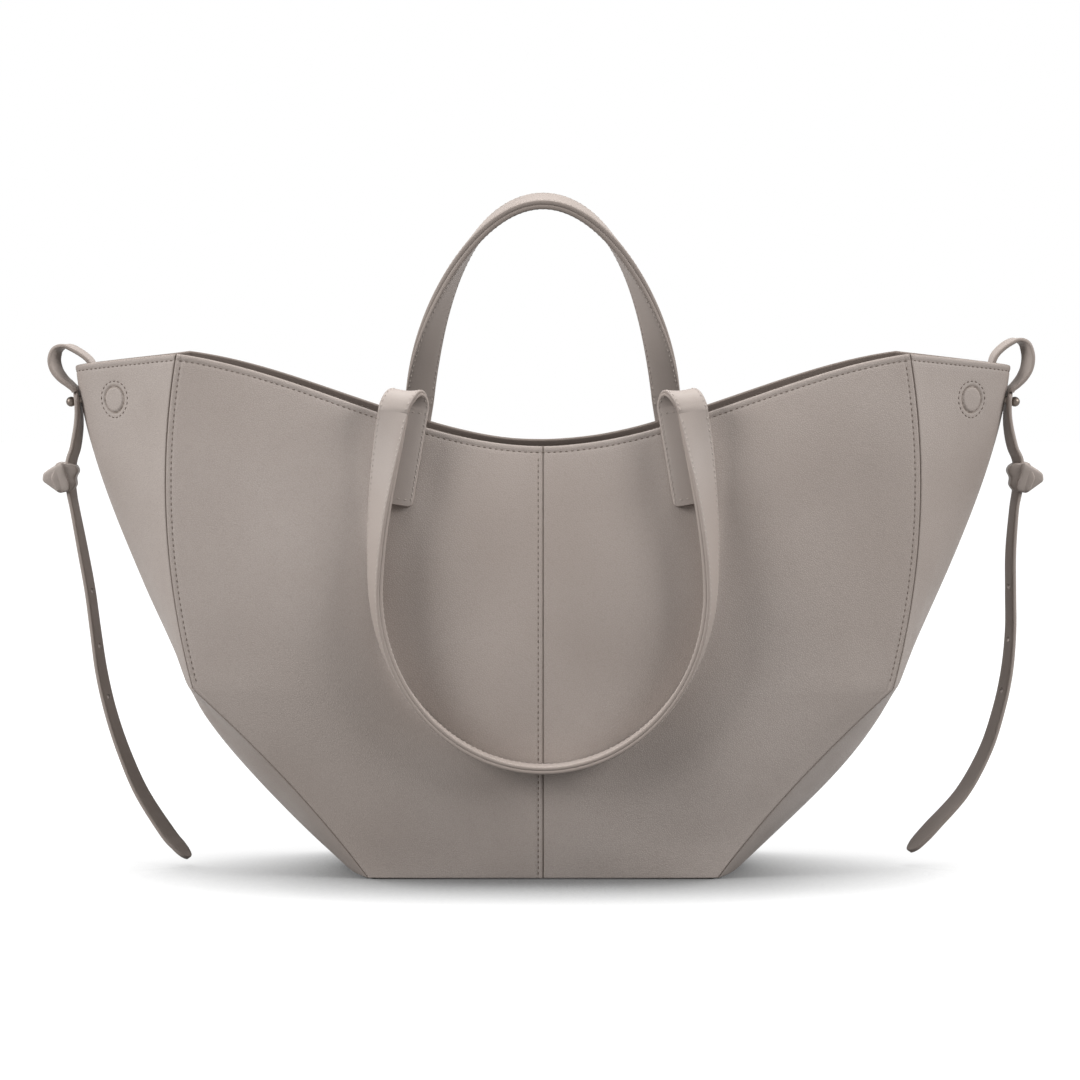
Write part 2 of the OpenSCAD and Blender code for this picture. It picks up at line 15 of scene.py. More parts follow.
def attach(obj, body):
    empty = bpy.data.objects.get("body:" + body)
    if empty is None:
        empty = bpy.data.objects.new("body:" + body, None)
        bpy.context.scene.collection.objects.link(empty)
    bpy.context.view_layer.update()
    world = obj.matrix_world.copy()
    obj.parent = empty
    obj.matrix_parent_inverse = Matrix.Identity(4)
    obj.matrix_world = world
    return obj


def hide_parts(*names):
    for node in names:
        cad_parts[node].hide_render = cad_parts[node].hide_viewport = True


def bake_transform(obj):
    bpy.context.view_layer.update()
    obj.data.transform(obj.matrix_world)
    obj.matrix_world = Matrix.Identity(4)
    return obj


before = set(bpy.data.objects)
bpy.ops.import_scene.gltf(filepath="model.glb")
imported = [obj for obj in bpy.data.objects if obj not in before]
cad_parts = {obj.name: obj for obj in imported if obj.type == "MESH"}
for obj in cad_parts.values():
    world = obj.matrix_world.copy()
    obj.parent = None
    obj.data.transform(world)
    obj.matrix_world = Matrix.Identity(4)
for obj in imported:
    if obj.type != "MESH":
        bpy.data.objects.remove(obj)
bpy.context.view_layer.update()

# %% [markdown]
# ## Camera
# The photograph looks at the bag from straight in front, a little above its middle, through a long
# lens, so the two sides stay almost parallel. A 144 mm lens at 2.4 m gives that picture.

# %% Camera
LENS_MM, SENSOR_MM, LOOK_DOWN = 144, 36, 3.553
camera = bpy.data.objects.new("photo_camera", bpy.data.cameras.new("photo_camera"))
camera.data.lens, camera.data.sensor_width = LENS_MM, SENSOR_MM
camera.location = (-0.00167, -2.4, 0.33)
camera.rotation_euler = (math.radians(90 - LOOK_DOWN), 0, 0)
bpy.context.scene.collection.objects.link(camera)
bpy.context.scene.camera = camera
print("camera at", tuple(camera.location))

# %% [markdown]
# ## The body's curved skins
# A bag could be modelled as a box and pushed into shape, but its seams are what give it its form. Here
# the outline of each leather piece is a formula, in millimetres: how wide the bag is at a height, how
# deep it is, and how far the leather bows out between the seams. The solids are made from the same
# formulas, so the pieces land on them. The functions work on whole arrays of points at once.

# %% Outline formulas
FOOT_H, MOUTH_H, SEAM_H, TIP_H = 103, 235.5, 285.5, 278  # heights of wing foot, mid rim, wing seam and tip
BASE_W, FOOT_W, SEAM_W = 191, 382, 400                   # widths at the floor, the wing foot and the rim
FOLD_FOOT_X, TIP_X = 198, 259.5                          # the wing's fold, from its foot to its tip
CREASE_DIP, SEAM_BOW, FOLD_BOW = 20, 39.2, 29.2          # how far these outlines bend on the way
DEPTHS = (124, 114, 90)                                  # at the floor, the wing foot and the rim
FRONT_BOW, GUSSET_BOW = (1, 15, 7), (13.5, 24, 7)        # how far the leather bows at those heights
THICK = 2.0


def lerp(a, b, k):
    """From a at 0 to b at 1, in a straight line."""
    return a + (b - a) * k


def soft(t):
    """A smooth step from 0 to 1."""
    t = np.clip(t, 0, 1)
    return t * t * (3 - 2 * t)


def unit(v):
    v = np.asarray(v, float)
    return v / np.linalg.norm(v, axis=-1, keepdims=True)


def through(low, mid, top, v):
    """A curve through three heights: the floor at 0, the wing feet at 1 and the rim at 2."""
    return low * (v - 1) * (v - 2) / 2 - mid * v * (v - 2) + top * v * (v - 1) / 2


def crease_x(t):
    return lerp(BASE_W, FOOT_W, t) / 2 - CREASE_DIP * t * (1 - t)


def seam_x(s):
    return lerp(FOOT_W, SEAM_W, s) / 2 + SEAM_BOW * s * (1 - s)


def edge_x(v):
    return np.where(v <= 1, crease_x(v), seam_x(v - 1))


def half_d(v):
    return through(*DEPTHS, v) / 2


def fold_x(s):
    return lerp(FOLD_FOOT_X, TIP_X, s) + FOLD_BOW * s * (1 - s) * (0.5 + s)


def rim_h(u):
    u = np.abs(u)
    return lerp(MOUTH_H, SEAM_H, 2.5 * u ** 2 - 1.5 * u ** 3)


def front(u, v):
    """The front's skin: u is -1 and 1 at its side seams, v is 0 at the floor and 2 at the rim."""
    u, v = np.broadcast_arrays(np.asarray(u, float), np.asarray(v, float))
    z = np.where(v <= 1, FOOT_H * v, FOOT_H + (v - 1) * (rim_h(u) - FOOT_H))
    y = -half_d(v) - through(*FRONT_BOW, v) * (1 - np.abs(u) ** 2.2)
    return np.stack([u * edge_x(v), y, z], -1)


def gusset(g, t):
    """The right gusset: g is -1 at its front seam and 1 at its back seam, t is 1 at its top."""
    g, t = np.broadcast_arrays(np.asarray(g, float), np.asarray(t, float))
    bow = through(*GUSSET_BOW, 2 * t)
    return np.stack([crease_x(t) + bow * (1 - g * g), g * half_d(t), FOOT_H * t], -1)


def wing(w, s):
    """The right wing: w is 0 on its fold, s is 0 at its foot and 1 at the rim."""
    w, s = np.broadcast_arrays(np.asarray(w, float), np.asarray(s, float))
    a = np.abs(w)
    r = 0.12
    fold = 1 - (np.sqrt(a * a + r * r) - r) / (math.sqrt(1 + r * r) - r)
    share = lerp(fold, 1 - a * a, np.maximum(0, 1 - s) ** 1.5)
    z = FOOT_H + s * lerp(TIP_H - FOOT_H, SEAM_H - FOOT_H, a)
    return np.stack([lerp(seam_x(s), fold_x(s), share), w * half_d(1 + s), z], -1)


def normal_of(skin, p, q, probe=0.004):
    """The outward normal of a skin, from four places close around the point."""
    p, q = np.broadcast_arrays(np.asarray(p, float), np.asarray(q, float))
    across, up = skin(p + probe, q) - skin(p - probe, q), skin(p, q + probe) - skin(p, q - probe)
    return unit(np.cross(across, up))


print("tip of the wing", wing(0, 1), "mouth", front(0, 2))

# %% [markdown]
# ## How two pieces meet
# Where two leather pieces are sewn edge to edge, each has to be cut at the angle halfway between them,
# or their thicknesses would pass through each other. This cell finds that shared direction along each
# seam, and lets it fade into the plain normal over the last eight millimetres before the seam.


# %% Shared directions at the seams
MITRE_FADE = 8
# about how far it is, in millimetres, from the middle of a gusset or wing to its seam, and up a wing
GUSSET_HALF, WING_HALF, FOLD_RISE, FOOT_RISE, RIM_RISE = 60, 65, TIP_H - FOOT_H, 178, 180


def mitre(a, b):
    """The direction halfway between two, as long as a sheet cut at that angle needs."""
    return (a + b) / (1 + np.sum(a * b, -1, keepdims=True))


def corner(a, b, c):
    """The same where three pieces meet."""
    volume = np.sum(a * np.cross(b, c), -1, keepdims=True)
    return (np.cross(a, b) + np.cross(b, c) + np.cross(c, a)) / volume


def edge_way(v):
    """The shared direction along the side seam of the front, where the wing foot is at 1."""
    v = np.asarray(v, float)
    n_front = normal_of(front, 1.0, v)
    n_gusset = normal_of(gusset, -1.0, np.minimum(v, 1))
    n_wing = normal_of(wing, -1.0, np.maximum(v - 1, 0))
    low, high = mitre(n_front, n_gusset), mitre(n_front, n_wing)
    v = v[..., None]
    return np.where(v < 0.995, low, np.where(v > 1.005, high, corner(n_front, n_gusset, n_wing)))


def fade(way, normal, distance):
    return lerp(way, normal, np.clip(np.asarray(distance) / MITRE_FADE, 0, 1)[..., None])


def front_way(u, v):
    """For the right half of the front, where u runs from 0 to 1."""
    return fade(edge_way(v), normal_of(front, u, v), (1 - u) * edge_x(v))


def flip_y(way, g):
    return way * np.stack([np.ones_like(g), np.where(g > 0, -1.0, 1.0), np.ones_like(g)], -1)


def foot_way_of(g):
    """The shared direction of gusset and wing along the wing's foot."""
    return mitre(normal_of(gusset, g, np.ones_like(g)), normal_of(wing, g, np.zeros_like(g)))


def gusset_way(g, t):
    way = fade(foot_way_of(g), normal_of(gusset, g, t), (1 - t) * FOOT_H)
    return fade(flip_y(edge_way(t), g), way, (1 - np.abs(g)) * GUSSET_HALF)


def wing_way(w, s):
    way = fade(foot_way_of(w), normal_of(wing, w, s), s * FOLD_RISE)
    return fade(flip_y(edge_way(1 + s), w), way, (1 - np.abs(w)) * WING_HALF)


print("seam direction halfway up", edge_way(np.array(1.5)))

# %% [markdown]
# ## Sag and seam relief
# Leather never stays as smooth as its pattern. A few long, gentle waves with fixed random phases make
# it swell and sink by about a millimetre between the seams. Near a seam the relief is finer: the edge
# rolls over into the seam, a ridge follows it, and a row of stitches pulls a shallow channel. A cloth
# simulation could do the first but not the second, and the waves give the same bag on every run.


# %% Sag and relief
FULL_TURN = 6.283
EDGE_ROW, CENTRE_ROW, RIM_ROW = 3.2, 2.6, 3.5


def waves(a, b, seed, shortest, longest, count=7):
    """A sum of waves of different lengths and directions, about 1 high."""
    rng = np.random.default_rng(seed)
    total = 0
    for _ in range(count):
        size, angle, phase = rng.uniform(shortest, longest), rng.uniform(0, math.pi), rng.uniform(0, FULL_TURN)
        total = total + np.sin(FULL_TURN * (a * math.cos(angle) + b * math.sin(angle)) / size + phase)
    return total / math.sqrt(count)


def spot(dx, dz, wide, high):
    """1 in the middle of a spot, and 0 far from it."""
    return np.exp(-(dx / wide) ** 2 - (dz / high) ** 2)


def front_sag(u, v, side):
    """How far the front (side 1) or back (side -1) swells outwards. u has its sign."""
    a = np.abs(u)
    x, z = a * edge_x(v), front(a, v)[..., 2]
    # calm is 0 at the seams and under the tabs, so that the leather keeps its place there
    calm = soft((1 - a) * edge_x(v) / 26) * soft(x / 22) * soft(z / 26)
    calm = calm * (1 - spot(x - 70.5, z - 256, 20, 26))
    seed = 11 if side > 0 else 31
    swell = np.where(u >= 0, waves(x, z, seed, 80, 190), waves(x, z, seed + 1, 80, 190))
    # the leather sinks beside each tab's foot and hangs in one soft fold below it
    pull = -1.3 * spot(x - 58, z - 214, 9, 26) + 0.8 * spot(x - 83 - 0.12 * (200 - z), z - 165, 9, 40)
    return (0.75 * swell + pull) * calm


def wing_sag(w, s, hand):
    across, z = w * 70, s * FOOT_RISE
    calm = soft((1 - np.abs(w)) * WING_HALF / 16) * soft(z / 26) * soft(np.abs(across) / 14)
    flat = 1 - spot(np.abs(across) - 31, z - 157, 20, 22)
    return 0.5 * waves(across, z, 51 + hand, 60, 140) * calm * flat


def gusset_sag(g, t, hand):
    across, z = g * GUSSET_HALF, t * FOOT_H
    calm = soft((1 - np.abs(g)) * GUSSET_HALF / 18) * soft(z / 18) * soft((FOOT_H - z) / 18)
    return 0.6 * waves(across, z, 71 + hand, 50, 120) * calm


def shoulder(distance, radius):
    """Depth of the rolled edge at a distance from it."""
    near = np.clip(radius - distance, 0, radius)
    return radius - np.sqrt(radius ** 2 - near ** 2)


def channel(distance, row, depth):
    """The shallow channel that a row of stitches pulls into the leather."""
    return depth * np.exp(-((distance - row) / 0.6) ** 2)


def sewn(distance, row):
    """Ridge between a seam and its stitches, and the channel under them."""
    return 0.22 * np.sin(math.pi * np.clip(distance / row, 0, 1)) - channel(distance, row, 0.32)


def front_skin(u, v, side):
    """A place on the sagging front or back, and its outward normal."""
    u, v = np.broadcast_arrays(np.asarray(u, float), np.asarray(v, float))
    normal = normal_of(front, u, v)
    point = front(u, v) + normal * front_sag(u, v, side)[..., None]
    mirror = np.array([1.0, side, 1.0])
    return point * mirror, normal * mirror


def wing_skin(w, s, hand):
    w, s = np.broadcast_arrays(np.asarray(w, float), np.asarray(s, float))
    normal = normal_of(wing, w, s)
    point = wing(w, s) + normal * wing_sag(w, s, hand)[..., None]
    mirror = np.array([hand, 1.0, 1.0])
    return point * mirror, normal * mirror


test_u, test_v = np.meshgrid(np.linspace(0, 1, 60), np.linspace(0, 2, 60))
print("largest swell", round(float(np.abs(front_sag(test_u, test_v, 1)).max()), 2), "mm")

# %% [markdown]
# ## Colours and finishes
# Every finish is made of nodes, so that it holds up close and needs no picture. The leather has three
# scales: broad, faint changes of tone, small mottling, and a pebbled grain about a millimetre wide in
# colour and in bump. Two values painted on each piece steer it: `edge` is 1 where the edge is painted
# or worn, and also carries painted shade in the snap rings' grooves and along the wing folds; `inside`
# is 1 on the back of the leather, which gets a darker, duller colour as painted shade inside the bag.


# %% Materials
def srgb(r, g, b):
    """A colour as it is seen on a screen, from 0 to 255, as Blender wants it."""
    def linear(c):
        c /= 255
        return c / 12.92 if c <= 0.04045 else ((c + 0.055) / 1.055) ** 2.4
    return (linear(r), linear(g), linear(b), 1)


def add_node(tree, kind, inputs, output, **settings):
    """Add a node and return one of its outputs. An input is given as a number or as another output."""
    node = tree.nodes.new("ShaderNode" + kind)
    for name, value in settings.items():
        setattr(node, name, value)
    for name, value in inputs.items():
        if isinstance(value, bpy.types.NodeSocket):
            tree.links.new(value, node.inputs[name])
        else:
            node.inputs[name].default_value = value
    return node.outputs[output]


def new_material(name, roughness, specular):
    """A material, its node tree, its shader, and the place on the piece that its patterns read."""
    material = bpy.data.materials.new(name)
    material.use_nodes = True
    tree = material.node_tree
    shader = tree.nodes["Principled BSDF"]
    shader.inputs["Roughness"].default_value = roughness
    shader.inputs["Specular IOR Level"].default_value = specular
    return material, tree, shader, add_node(tree, "TexCoord", {}, "Object")


def noise(tree, place, scale, detail=3.0, roughness=0.55):
    return add_node(tree, "TexNoise", {"Vector": place, "Scale": scale, "Detail": detail, "Roughness": roughness},
                    "Fac")


def remap(tree, value, low, high, to_low, to_high):
    return add_node(tree, "MapRange", {"Value": value, "From Min": low, "From Max": high, "To Min": to_low,
                                       "To Max": to_high}, "Result")


def mix_colour(tree, factor, a, b):
    return add_node(tree, "Mix", {"Factor": factor, "A": a, "B": b}, "Result", data_type="RGBA")


def calculate(tree, operation, a, b):
    return add_node(tree, "Math", {0: a, 1: b}, "Value", operation=operation)


def add_bump(tree, shader, height, strength, distance):
    bump = add_node(tree, "Bump", {"Height": height, "Strength": strength, "Distance": distance}, "Normal")
    tree.links.new(bump, shader.inputs["Normal"])


# how many times each pattern repeats in a metre
BROAD, SHINE, MOTTLE, WOBBLE, PEBBLE, FINE = 7, 40, 95, 420, 950, 2600
PEBBLE_SHIFT = (0.0011, 0.0011, 0.0011)


def leather(name, dark, light, edge, inside, grain=1.0, roughness=0.56):
    material, tree, shader, place = new_material(name, roughness, 0.32)
    broad = remap(tree, noise(tree, place, BROAD, 2), 0.3, 0.7, 0.0, 1.0)
    tone = mix_colour(tree, broad, dark, light)
    mottle = remap(tree, noise(tree, place, MOTTLE, 4), 0.35, 0.7, 0.0, 0.2)
    tone = mix_colour(tree, mottle, tone, dark)
    # cells with wavy borders make the pebbles: darker in the valleys between them, raised in their middles
    wobble = add_node(tree, "TexNoise", {"Vector": place, "Scale": WOBBLE}, "Color")
    moved = add_node(tree, "VectorMath", {0: wobble, 1: PEBBLE_SHIFT, 2: place}, "Vector", operation="MULTIPLY_ADD")
    pebble = add_node(tree, "TexVoronoi", {"Vector": moved, "Scale": PEBBLE}, "Distance", feature="DISTANCE_TO_EDGE")
    valley = remap(tree, pebble, 0.0, 0.16, 0.3 * grain, 0.0)
    tone = mix_colour(tree, valley, tone, tuple(0.62 * c for c in dark[:3]) + (1,))
    # edge mixes in the edge colour, which also paints shade in the snap rings and along the wing folds; inside mixes
    # in a darker colour, painted shade on the back of the leather
    for attribute, colour in (("edge", edge), ("inside", inside)):
        painted = add_node(tree, "Attribute", {}, "Fac", attribute_name=attribute)
        tone = mix_colour(tree, painted, tone, colour)
    tree.links.new(tone, shader.inputs["Base Color"])
    shine = remap(tree, noise(tree, place, SHINE, 3), 0.3, 0.7, roughness - 0.05, roughness + 0.07)
    tree.links.new(shine, shader.inputs["Roughness"])
    fine = calculate(tree, "MULTIPLY", noise(tree, place, FINE, 2), 0.35)
    height = calculate(tree, "ADD", remap(tree, pebble, 0.0, 0.25, 0.0, 1.0), fine)
    add_bump(tree, shader, height, 0.38 * grain, 0.00016)
    return material


# the second colour is the darker back of the leather: painted shade for the inside of the bag
EDGE, SHADED_INSIDE = srgb(146, 135, 128), srgb(98, 87, 80)
body_leather = leather("body_leather", srgb(153, 142, 135), srgb(170, 160, 154), srgb(126, 115, 107), SHADED_INSIDE)
strap_leather = leather("strap_leather", srgb(154, 143, 136), srgb(168, 158, 152), EDGE, SHADED_INSIDE, 0.25, 0.55)
# the pieces inside the bag get this darker copy of the leather: painted shade for the inside of the bag
inner_leather = leather("inner_leather", srgb(104, 93, 86), srgb(120, 108, 101), srgb(110, 99, 92), SHADED_INSIDE,
                        0.7, 0.66)
print("leathers", body_leather.name, strap_leather.name, inner_leather.name)

# %% [markdown]
# Thread, metal and the board's cover are simpler: one fine noise moves each between two tones. The body
# is sewn with thread darker than the leather and the straps with lighter thread. The studs, their screws
# and the magnets keep the solids' shapes and only get a material.


# %% Thread, metal and board
HANDS = ((-1, "left"), (1, "right"))
SIDES = ((1, "front"), (-1, "back"))


def fibre_material(name, roughness, dark, light, scale, fuzz, strength, distance):
    """Thread or cloth: fuzz is how much detail its noise has, strength and distance are its bump."""
    material, tree, shader, place = new_material(name, roughness, 0.2)
    fibre = noise(tree, place, scale, *fuzz)
    tree.links.new(mix_colour(tree, fibre, dark, light), shader.inputs["Base Color"])
    add_bump(tree, shader, fibre, strength, distance)
    return material


def metal_material():
    material, tree, shader, place = new_material("satin_metal", 0.42, 0.5)
    shader.inputs["Metallic"].default_value = 1.0
    smear = noise(tree, place, 300, 4)
    tree.links.new(mix_colour(tree, smear, srgb(88, 80, 74), srgb(116, 107, 100)), shader.inputs["Base Color"])
    tree.links.new(remap(tree, smear, 0.3, 0.7, 0.36, 0.5), shader.inputs["Roughness"])
    return material


thread = fibre_material("thread", 0.7, srgb(92, 82, 75), srgb(118, 107, 99), 1500, (2,), 0.5, 0.0001)
strap_thread = fibre_material("strap_thread", 0.7, srgb(160, 150, 143), srgb(182, 173, 166), 1500, (2,), 0.5, 0.0001)
board_cover = fibre_material("board_cover", 0.85, srgb(70, 62, 57), srgb(96, 87, 81), 900, (4, 0.7), 0.4, 0.0002)
metal = metal_material()
finishes = {"base_board": board_cover}
for _, hand_name in HANDS:
    finishes |= {f"{hand_name}_stud": metal, f"{hand_name}_stud_screw": metal}
    finishes |= {f"snap_magnet_{hand_name}_{side_name}": metal for _, side_name in SIDES}
for name, material in finishes.items():
    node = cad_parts[name]
    if not node.material_slots:
        node.data.materials.append(material)
    node.material_slots[0].material = material
    print(name, "has", material.name)

# %% [markdown]
# ## Helpers for every piece
# An operator in `bpy.ops` acts on whatever is selected, as a click in Blender does, so each helper
# selects its own piece first. The last one finishes a piece: it gets its material, smooth shading with
# sharp corners kept, the body that it moves with, and the solids that it stands for.


# %% Helpers for every piece
MM = 0.001


def deselect():
    bpy.ops.object.select_all(action="DESELECT")


def activate(*pieces):
    """Select some pieces and nothing else, and make the first the active one."""
    deselect()
    for piece in pieces:
        piece.select_set(True)
    bpy.context.view_layer.objects.active = pieces[0]


def join(pieces):
    activate(*pieces)
    bpy.ops.object.join()
    return bpy.context.object


def normals_out(piece):
    activate(piece)
    bpy.ops.object.mode_set(mode="EDIT")
    bpy.ops.mesh.select_all(action="SELECT")
    bpy.ops.mesh.normals_make_consistent(inside=False)
    bpy.ops.object.mode_set(mode="OBJECT")


def mesh_piece(name, points, faces, edges=(), scale=MM):
    """A new object from points, which are in millimetres, and faces."""
    mesh = bpy.data.meshes.new(name)
    mesh.from_pydata((np.asarray(points) * scale).tolist(), edges, faces)
    piece = bpy.data.objects.new(name, mesh)
    bpy.context.scene.collection.objects.link(piece)
    return piece


def paint(mesh, name, values):
    """Write a value to every point of a mesh, for the materials to read."""
    layer = mesh.attributes.get(name) or mesh.attributes.new(name, "FLOAT", "POINT")
    layer.data.foreach_set("value", np.asarray(values, np.float32).ravel())


def finish_piece(piece, material, body="bag", replaces=(), angle=50):
    """Give a piece its material, smooth shading and slot, the body it rides on and the nodes it replaces."""
    piece.data.materials.clear()
    piece.data.materials.append(material)
    activate(piece)
    bpy.ops.object.shade_smooth_by_angle(angle=math.radians(angle))
    if body:
        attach(piece, body)
    if replaces:
        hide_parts(*replaces)
    return piece


print("one millimetre is", MM, "of Blender's metres")

# %% [markdown]
# ## A sheet of leather
# Each panel starts as Blender's grid. Extruding the whole grid gives it a back and side walls in one
# step, and then every point is put where the skin says: the front of the sheet on the outer skin, the
# back two millimetres inside. The grid lines lie close together near seams, stitches and the rim,
# where the relief is fine, and far apart in between.


# %% Sheet helper
def leather_sheet(name, outer, inner, edge_outer, edge_inner, inside=1.0):
    """A closed sheet of leather between two grids of points, in millimetres."""
    rows, columns = outer.shape[:2]
    deselect()
    bpy.ops.mesh.primitive_grid_add(x_subdivisions=columns - 1, y_subdivisions=rows - 1, size=2)
    piece = bpy.context.object
    piece.name = piece.data.name = name
    mesh = piece.data
    flat = np.empty(len(mesh.vertices) * 3)
    mesh.vertices.foreach_get("co", flat)
    flat = flat.reshape(-1, 3)
    i = np.rint((flat[:, 0] + 1) / 2 * (columns - 1)).astype(int)
    j = np.rint((flat[:, 1] + 1) / 2 * (rows - 1)).astype(int)
    mesh.attributes.new("grid_spot", "INT", "POINT").data.foreach_set("value", j * columns + i)
    bpy.ops.object.mode_set(mode="EDIT")
    bpy.ops.mesh.select_all(action="SELECT")
    bpy.ops.mesh.extrude_region()
    bpy.ops.object.mode_set(mode="OBJECT")
    # what the extrude left selected is the back of the sheet
    count = len(mesh.vertices)
    back, place = np.empty(count, bool), np.empty(count, np.int32)
    mesh.vertices.foreach_get("select", back)
    mesh.attributes["grid_spot"].data.foreach_get("value", place)
    points = np.where(back[:, None], inner.reshape(-1, 3)[place], outer.reshape(-1, 3)[place]) * MM
    mesh.vertices.foreach_set("co", points.ravel())
    mesh.attributes.remove(mesh.attributes["grid_spot"])
    paint(mesh, "edge", np.where(back, edge_inner.ravel()[place], edge_outer.ravel()[place]))
    # the back of the sheet gets the value inside, which the materials turn into a darker colour: painted shade inside
    # the bag
    paint(mesh, "inside", np.where(back, inside, 0.0))
    mesh.update()
    normals_out(piece)
    print(name, len(mesh.polygons), "faces")
    return piece


def spread(width, near_start, count, near_end):
    """Distances across a width: close lines at both ends and count even steps between them."""
    start, end = np.array(near_start, float), np.array(near_end, float)[::-1]
    width = np.asarray(width, float)[..., None]
    middle = start[-1] + (width - start[-1] - end[0]) * np.arange(1, count) / count
    return np.concatenate([np.broadcast_to(start, width.shape[:-1] + start.shape), middle, width - end], -1)


# where the grid lines lie, in millimetres from an edge
ROLL = [0, 0.2, 0.5, 0.9]
SEAM_LINES = ROLL + [1.4, 2.0, 2.6, 3.2, 3.9, 5.2, 7.6, 11]
RIM_LINES = ROLL + [1.5, 2.2, 2.9, 3.5, 4.1, 5, 7, 10]
LOW_LINES = [1.6, 2.8, 5]
print("lines beside a seam", SEAM_LINES)

# %% [markdown]
# ## Front and back panels
# Two panels make the front and two the back. They are sewn together down the middle and to the wings
# at the sides. The left one carries the stitches of the middle seam. Each panel is 2 mm thick, its
# seam edges roll inwards, and its rim is rounded. The edge value lightens or darkens the leather along
# its edges, where hands and other things rub it.


# %% Front and back panels
SEAM_WORN, RIM_WORN = 0.8, 0.45
UPPER_H, EVEN_BELOW_RIM = SEAM_H - FOOT_H, 10


def panel_grid():
    """u and v of a panel's grid. Near the rim its rows keep their distance from it; further down they
    share the height evenly."""
    rows = np.concatenate([spread(FOOT_H, ROLL + LOW_LINES, 22, [0, 2.5])[:-1] / FOOT_H,
                           1 + spread(UPPER_H, [0], 30, RIM_LINES) / UPPER_H])
    width = edge_x(rows)
    u = spread(width, SEAM_LINES, 30, SEAM_LINES) / width[:, None]
    rows = rows[:, None]
    below, rise = (2 - rows) * UPPER_H, rim_h(u) - FOOT_H
    shared = 1 + (rows - 1) / (1 - EVEN_BELOW_RIM / UPPER_H) * (1 - EVEN_BELOW_RIM / rise)
    v = np.where(rows <= 1, rows, np.where(below <= EVEN_BELOW_RIM, 2 - below / rise, shared))
    return u, v


def body_panel(name, hand, side, node):
    u, v = panel_grid()
    seam, centre, foot = (1 - u) * edge_x(v), u * edge_x(v), v * FOOT_H
    top = np.where(v > 1, (2 - v) * (rim_h(u) - FOOT_H), 99)
    normal = normal_of(front, u, v)
    skin = front(u, v) + normal * front_sag(u * hand, v, side)[..., None]
    relief = sewn(seam, EDGE_ROW) * soft((front(u, v)[..., 2] - 98) / 8) + sewn(top, RIM_ROW) * 0.8
    if hand < 0:
        relief = relief + sewn(centre, CENTRE_ROW)
    relief = relief * soft(seam / 0.9) * soft(centre / 0.9) * soft(top / 0.9)
    drop = np.maximum(np.maximum(shoulder(seam, 1.1), shoulder(centre, 1.1)),
                      np.maximum(shoulder(top, 0.9), shoulder(foot, 0.7)))
    way = front_way(u, v)
    outer = skin + normal * relief[..., None] - way * drop[..., None]
    inner = skin - way * (THICK - shoulder(top, 0.5))[..., None]
    mirror = np.array([hand, side, 1.0])
    edge_tone = SEAM_WORN * np.exp(-np.minimum(seam, centre) / 0.5) + RIM_WORN * np.exp(-top / 0.7)
    piece = leather_sheet(name, outer * mirror, inner * mirror, np.clip(edge_tone, 0, 1), np.exp(-top / 0.7))
    finish_piece(piece, body_leather, replaces=[node])


for hand, hand_name in HANDS:
    for side, side_name in SIDES:
        body_panel(f"{side_name}_leather_{hand_name}", hand, side, f"{side_name}_panel_{hand_name}")

# %% [markdown]
# ## Side gussets
# Each gusset closes the side between the floor and the foot of the wing. It bows outwards and its
# edges roll into the corner seams, which carry no stitches on the outside.


# %% Side gussets
def both_ways(half):
    """Lines from the middle outwards, made into lines from one edge to the other."""
    return np.concatenate([-half[:0:-1], half])


def side_gusset(hand, hand_name):
    g = both_ways(spread(1.0, [0], 12, [d / GUSSET_HALF for d in SEAM_LINES]))[None, :]
    t = (spread(FOOT_H, ROLL + LOW_LINES, 22, ROLL + LOW_LINES) / FOOT_H)[:, None]
    g, t = np.broadcast_arrays(g, t)
    normal = normal_of(gusset, g, t)
    skin = gusset(g, t) + normal * gusset_sag(g, t, hand)[..., None]
    seam, foot, top = (1 - np.abs(g)) * GUSSET_HALF, t * FOOT_H, (1 - t) * FOOT_H
    drop = np.maximum(np.maximum(shoulder(seam, 0.9), shoulder(top, 0.8)), shoulder(foot, 0.7))
    way = gusset_way(g, t)
    mirror = np.array([hand, 1.0, 1.0])
    edge_tone = SEAM_WORN * np.exp(-np.minimum(seam, np.minimum(top, foot)) / 0.5)
    piece = leather_sheet(f"gusset_leather_{hand_name}", (skin - way * drop[..., None]) * mirror,
                          (skin - way * THICK) * mirror, edge_tone, np.zeros_like(edge_tone))
    finish_piece(piece, body_leather, replaces=[f"side_gusset_{hand_name}"])


for hand, hand_name in HANDS:
    side_gusset(hand, hand_name)

# %% [markdown]
# ## Wings
# A wing is one piece of leather folded outwards along its middle. Each half hides a snap magnet, which
# shows outside as a ring pressed into the leather, a slightly raised disc within it and a ring of
# stitches around it. The grid is finest there, so that the ring is real geometry.

# %% Wings
SNAP_W, SNAP_S = 0.4468, 0.8795
SNAP_R, SNAP_DEEP, SNAP_LIFT = 7.25, 0.9, 0.25
WING_W = both_ways(np.concatenate([
    [0, 0.02, 0.045, 0.075, 0.11, 0.145, 0.185, 0.225], np.linspace(0.262, 0.632, 36),
    1 - np.array([11, 7.6, 5.2, 3.9, 3.2, 2.6, 2.0, 1.4] + ROLL[::-1]) / WING_HALF]))
WING_S = np.concatenate([np.array(ROLL + LOW_LINES) / FOOT_RISE, np.linspace(0.05, 0.79, 28),
                         np.linspace(0.804, 0.944, 33), 1 - np.array(RIM_LINES[:-1])[::-1] / RIM_RISE])


